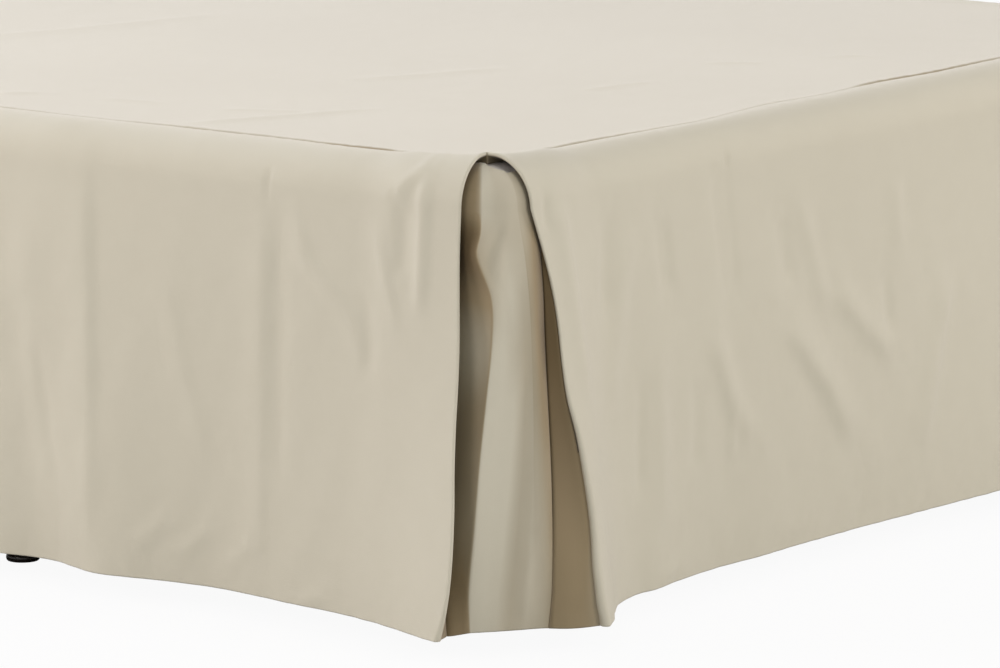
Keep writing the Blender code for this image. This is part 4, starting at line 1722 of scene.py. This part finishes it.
class SKIRT_OT_feet(Operator):
    """Adds the four painted legs and the glossy glides that they stand on"""

    bl_idname = "skirt.feet"
    bl_label = "Legs and Glides"

    def execute(self, context):
        sizes = context.scene.base_sizes
        finish = context.scene.skirt_finish
        steel, glide = tuple(finish.steel), tuple(finish.glide)
        steel = material_named("Leg steel", painted_material, steel, 0.38, 0.6, 0.0)
        gloss = material_named("Glide gloss", painted_material, glide, 0.16, 0.0, 0.6)
        for number in FEET:
            low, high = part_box(f"leg_{number}")
            place = (low + high) / 2
            inner = sizes.leg_radius - LEG_CHAMFER
            profile = (
                (inner, low.z),
                (sizes.leg_radius, low.z + LEG_CHAMFER),
                (sizes.leg_radius, high.z - LEG_CHAMFER),
                (inner, high.z),
            )
            made = turned_piece(f"leg_{number}_tube", place, profile)
            dress(made, f"leg_{number}", steel)
            low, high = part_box(f"glide_{number}")
            profile = [(sizes.glide_radius * r, low.z + z) for r, z in GLIDE_PROFILE]
            made = turned_piece(f"glide_{number}_bell", (low + high) / 2, profile)
            dress(made, f"glide_{number}", gloss)
        return {"FINISHED"}


# The camera: its place, how many degrees it looks down and is turned from +X, and its lens.
CAMERA_PLACE = (-6.019, -4.912, 1.489)
CAMERA_PITCH = 10.03
CAMERA_YAW = 36.59
CAMERA_LENS = 252.0
CAMERA_REACH = 300.0
FLOOR_SIZE = 160.0

# How much of the floor's white the camera sees as it is, and the surround's light on the cloth.
FLOOR_WHITE = 0.94
WORLD_LIGHT = 0.379

# The studio's lights: name, place, what it points at, width, length, power, colour.
LIGHTS = (
    ("overhead", (-0.3, -0.3, 3.4), (-0.3, -0.3, 0.4), 3.0, 3.0, 9.2, (0.87, 0.87, 1.0)),
    ("back_left", (-3.6, 2.6, 2.4), (-0.6, -0.2, 0.3), 1.8, 2.0, 110.7, (1.0, 0.87, 0.87)),
    ("front_right", (3.0, -4.0, 2.4), (-0.2, -0.9, 0.3), 1.8, 2.0, 82.5, (1.0, 0.87, 0.87)),
    ("back", (0.2, 3.4, 2.8), (-0.3, -0.2, 0.4), 2.4, 2.0, 111.6, (0.87, 0.87, 1.0)),
    ("front", (-0.4, -4.6, 2.2), (-0.2, -0.9, 0.3), 1.8, 2.0, 60.7, (1.0, 0.904, 0.87)),
    ("left", (-4.4, -0.6, 2.0), (-0.6, -0.4, 0.3), 1.8, 2.0, 32.6, (1.0, 0.885, 0.87)),
)


class SKIRT_OT_stage(Operator):
    """Adds the pale floor, the soft studio lights and the camera"""

    bl_idname = "skirt.stage"
    bl_label = "Stage"

    def execute(self, context):
        scene = context.scene
        scene.view_settings.view_transform = "Standard"
        start_piece()
        bpy.ops.mesh.primitive_plane_add(size=FLOOR_SIZE, location=(0.0, 0.0, 0.0))
        floor = context.active_object
        floor.name = "floor"
        floor.data.materials.append(floor_material())
        scene.world = studio_world()
        for name, place, target, wide, long, power, colour in LIGHTS:
            light = bpy.data.lights.new(name, "AREA")
            light.shape = "RECTANGLE"
            light.size, light.size_y = wide, long
            light.energy = power
            light.color = colour
            lamp = bpy.data.objects.new(name, light)
            aim = Vector(target) - Vector(place)
            lamp.location = place
            lamp.rotation_euler = aim.to_track_quat("-Z", "Y").to_euler()
            lamp.visible_camera = False
            scene.collection.objects.link(lamp)
        lens = bpy.data.cameras.new("camera")
        lens.lens = CAMERA_LENS
        lens.clip_end = CAMERA_REACH
        camera = bpy.data.objects.new("camera", lens)
        pitch, yaw = math.radians(CAMERA_PITCH), math.radians(CAMERA_YAW)
        forward = Vector(
            (math.cos(yaw) * math.cos(pitch), math.sin(yaw) * math.cos(pitch), -math.sin(pitch))
        )
        right = Vector((math.sin(yaw), -math.cos(yaw), 0.0))
        turn = Matrix((right, right.cross(forward), -forward)).transposed()
        camera.matrix_world = Matrix.LocRotScale(Vector(CAMERA_PLACE), turn.to_quaternion(), None)
        scene.collection.objects.link(camera)
        scene.camera = camera
        return {"FINISHED"}


def floor_material():
    """A pale floor that the camera sees lit almost to white."""
    made, n, shader = new_material("Floor", 0.9)
    place = n.add("ShaderNodeTexCoord").outputs["Object"]
    grain = n.noise(place, 6.0, 3.0)
    tone = n.mix(grain, (0.60, 0.60, 0.59, 1.0), (0.64, 0.64, 0.63, 1.0))
    n.tree.links.new(tone, shader.inputs["Base Color"])
    glow = n.add("ShaderNodeEmission", {"Color": (1.0, 1.0, 1.0, 1.0), "Strength": 1.0})
    seen = n.math("MULTIPLY", n.add("ShaderNodeLightPath").outputs["Is Camera Ray"], FLOOR_WHITE)
    both = n.add("ShaderNodeMixShader", {0: seen, 1: shader.outputs[0], 2: glow.outputs[0]})
    n.tree.links.new(both.outputs[0], n.tree.nodes["Material Output"].inputs[0])
    return made


def studio_world():
    """An even white surround that gives less light than the camera sees."""
    world = bpy.data.worlds.new("studio")
    world.use_nodes = True
    n = Nodes(world.node_tree)
    ground = world.node_tree.nodes["Background"]
    ground.inputs["Color"].default_value = (1.0, 1.0, 1.0, 1.0)
    seen = n.add("ShaderNodeLightPath").outputs["Is Camera Ray"]
    strength = n.math("MULTIPLY_ADD", seen, 1.0 - WORLD_LIGHT, WORLD_LIGHT)
    n.tree.links.new(strength, ground.inputs["Strength"])
    return world


class SKIRT_PT_panel(Panel):
    """The skirt's sizes, finishes and pieces"""

    bl_idname = "SKIRT_PT_panel"
    bl_label = "Bed Skirt"
    bl_space_type = "VIEW_3D"
    bl_region_type = "UI"
    bl_category = "Bed Skirt"

    def draw(self, context):
        layout = self.layout
        scene = context.scene
        for group in (scene.skirt_sizes, scene.skirt_finish, scene.base_sizes):
            box = layout.box()
            for key in group.bl_rna.properties.keys():
                if key not in ("rna_type", "name"):
                    box.prop(group, key)
        for operator in PIECES:
            layout.operator(operator.bl_idname)


PIECES = (
    SKIRT_OT_base,
    SKIRT_OT_feet,
    SKIRT_OT_deck,
    SKIRT_OT_side_drops,
    SKIRT_OT_foot_drop,
    SKIRT_OT_pleat_inserts,
    SKIRT_OT_stage,
)
CLASSES = (SkirtSizes, SkirtFinish, BaseSizes, *PIECES, SKIRT_PT_panel)


def register():
    for entry in CLASSES:
        bpy.utils.register_class(entry)
    bpy.types.Scene.skirt_sizes = PointerProperty(type=SkirtSizes)
    bpy.types.Scene.skirt_finish = PointerProperty(type=SkirtFinish)
    bpy.types.Scene.base_sizes = PointerProperty(type=BaseSizes)


def unregister():
    del bpy.types.Scene.base_sizes
    del bpy.types.Scene.skirt_finish
    del bpy.types.Scene.skirt_sizes
    for entry in reversed(CLASSES):
        bpy.utils.unregister_class(entry)


def main():
    register()
    bpy.ops.skirt.base()
    bpy.ops.skirt.feet()
    bpy.ops.skirt.deck()
    bpy.ops.skirt.side_drops()
    bpy.ops.skirt.foot_drop()
    bpy.ops.skirt.pleat_inserts()
    bpy.ops.skirt.stage()


if __name__ == "__main__":
    main()
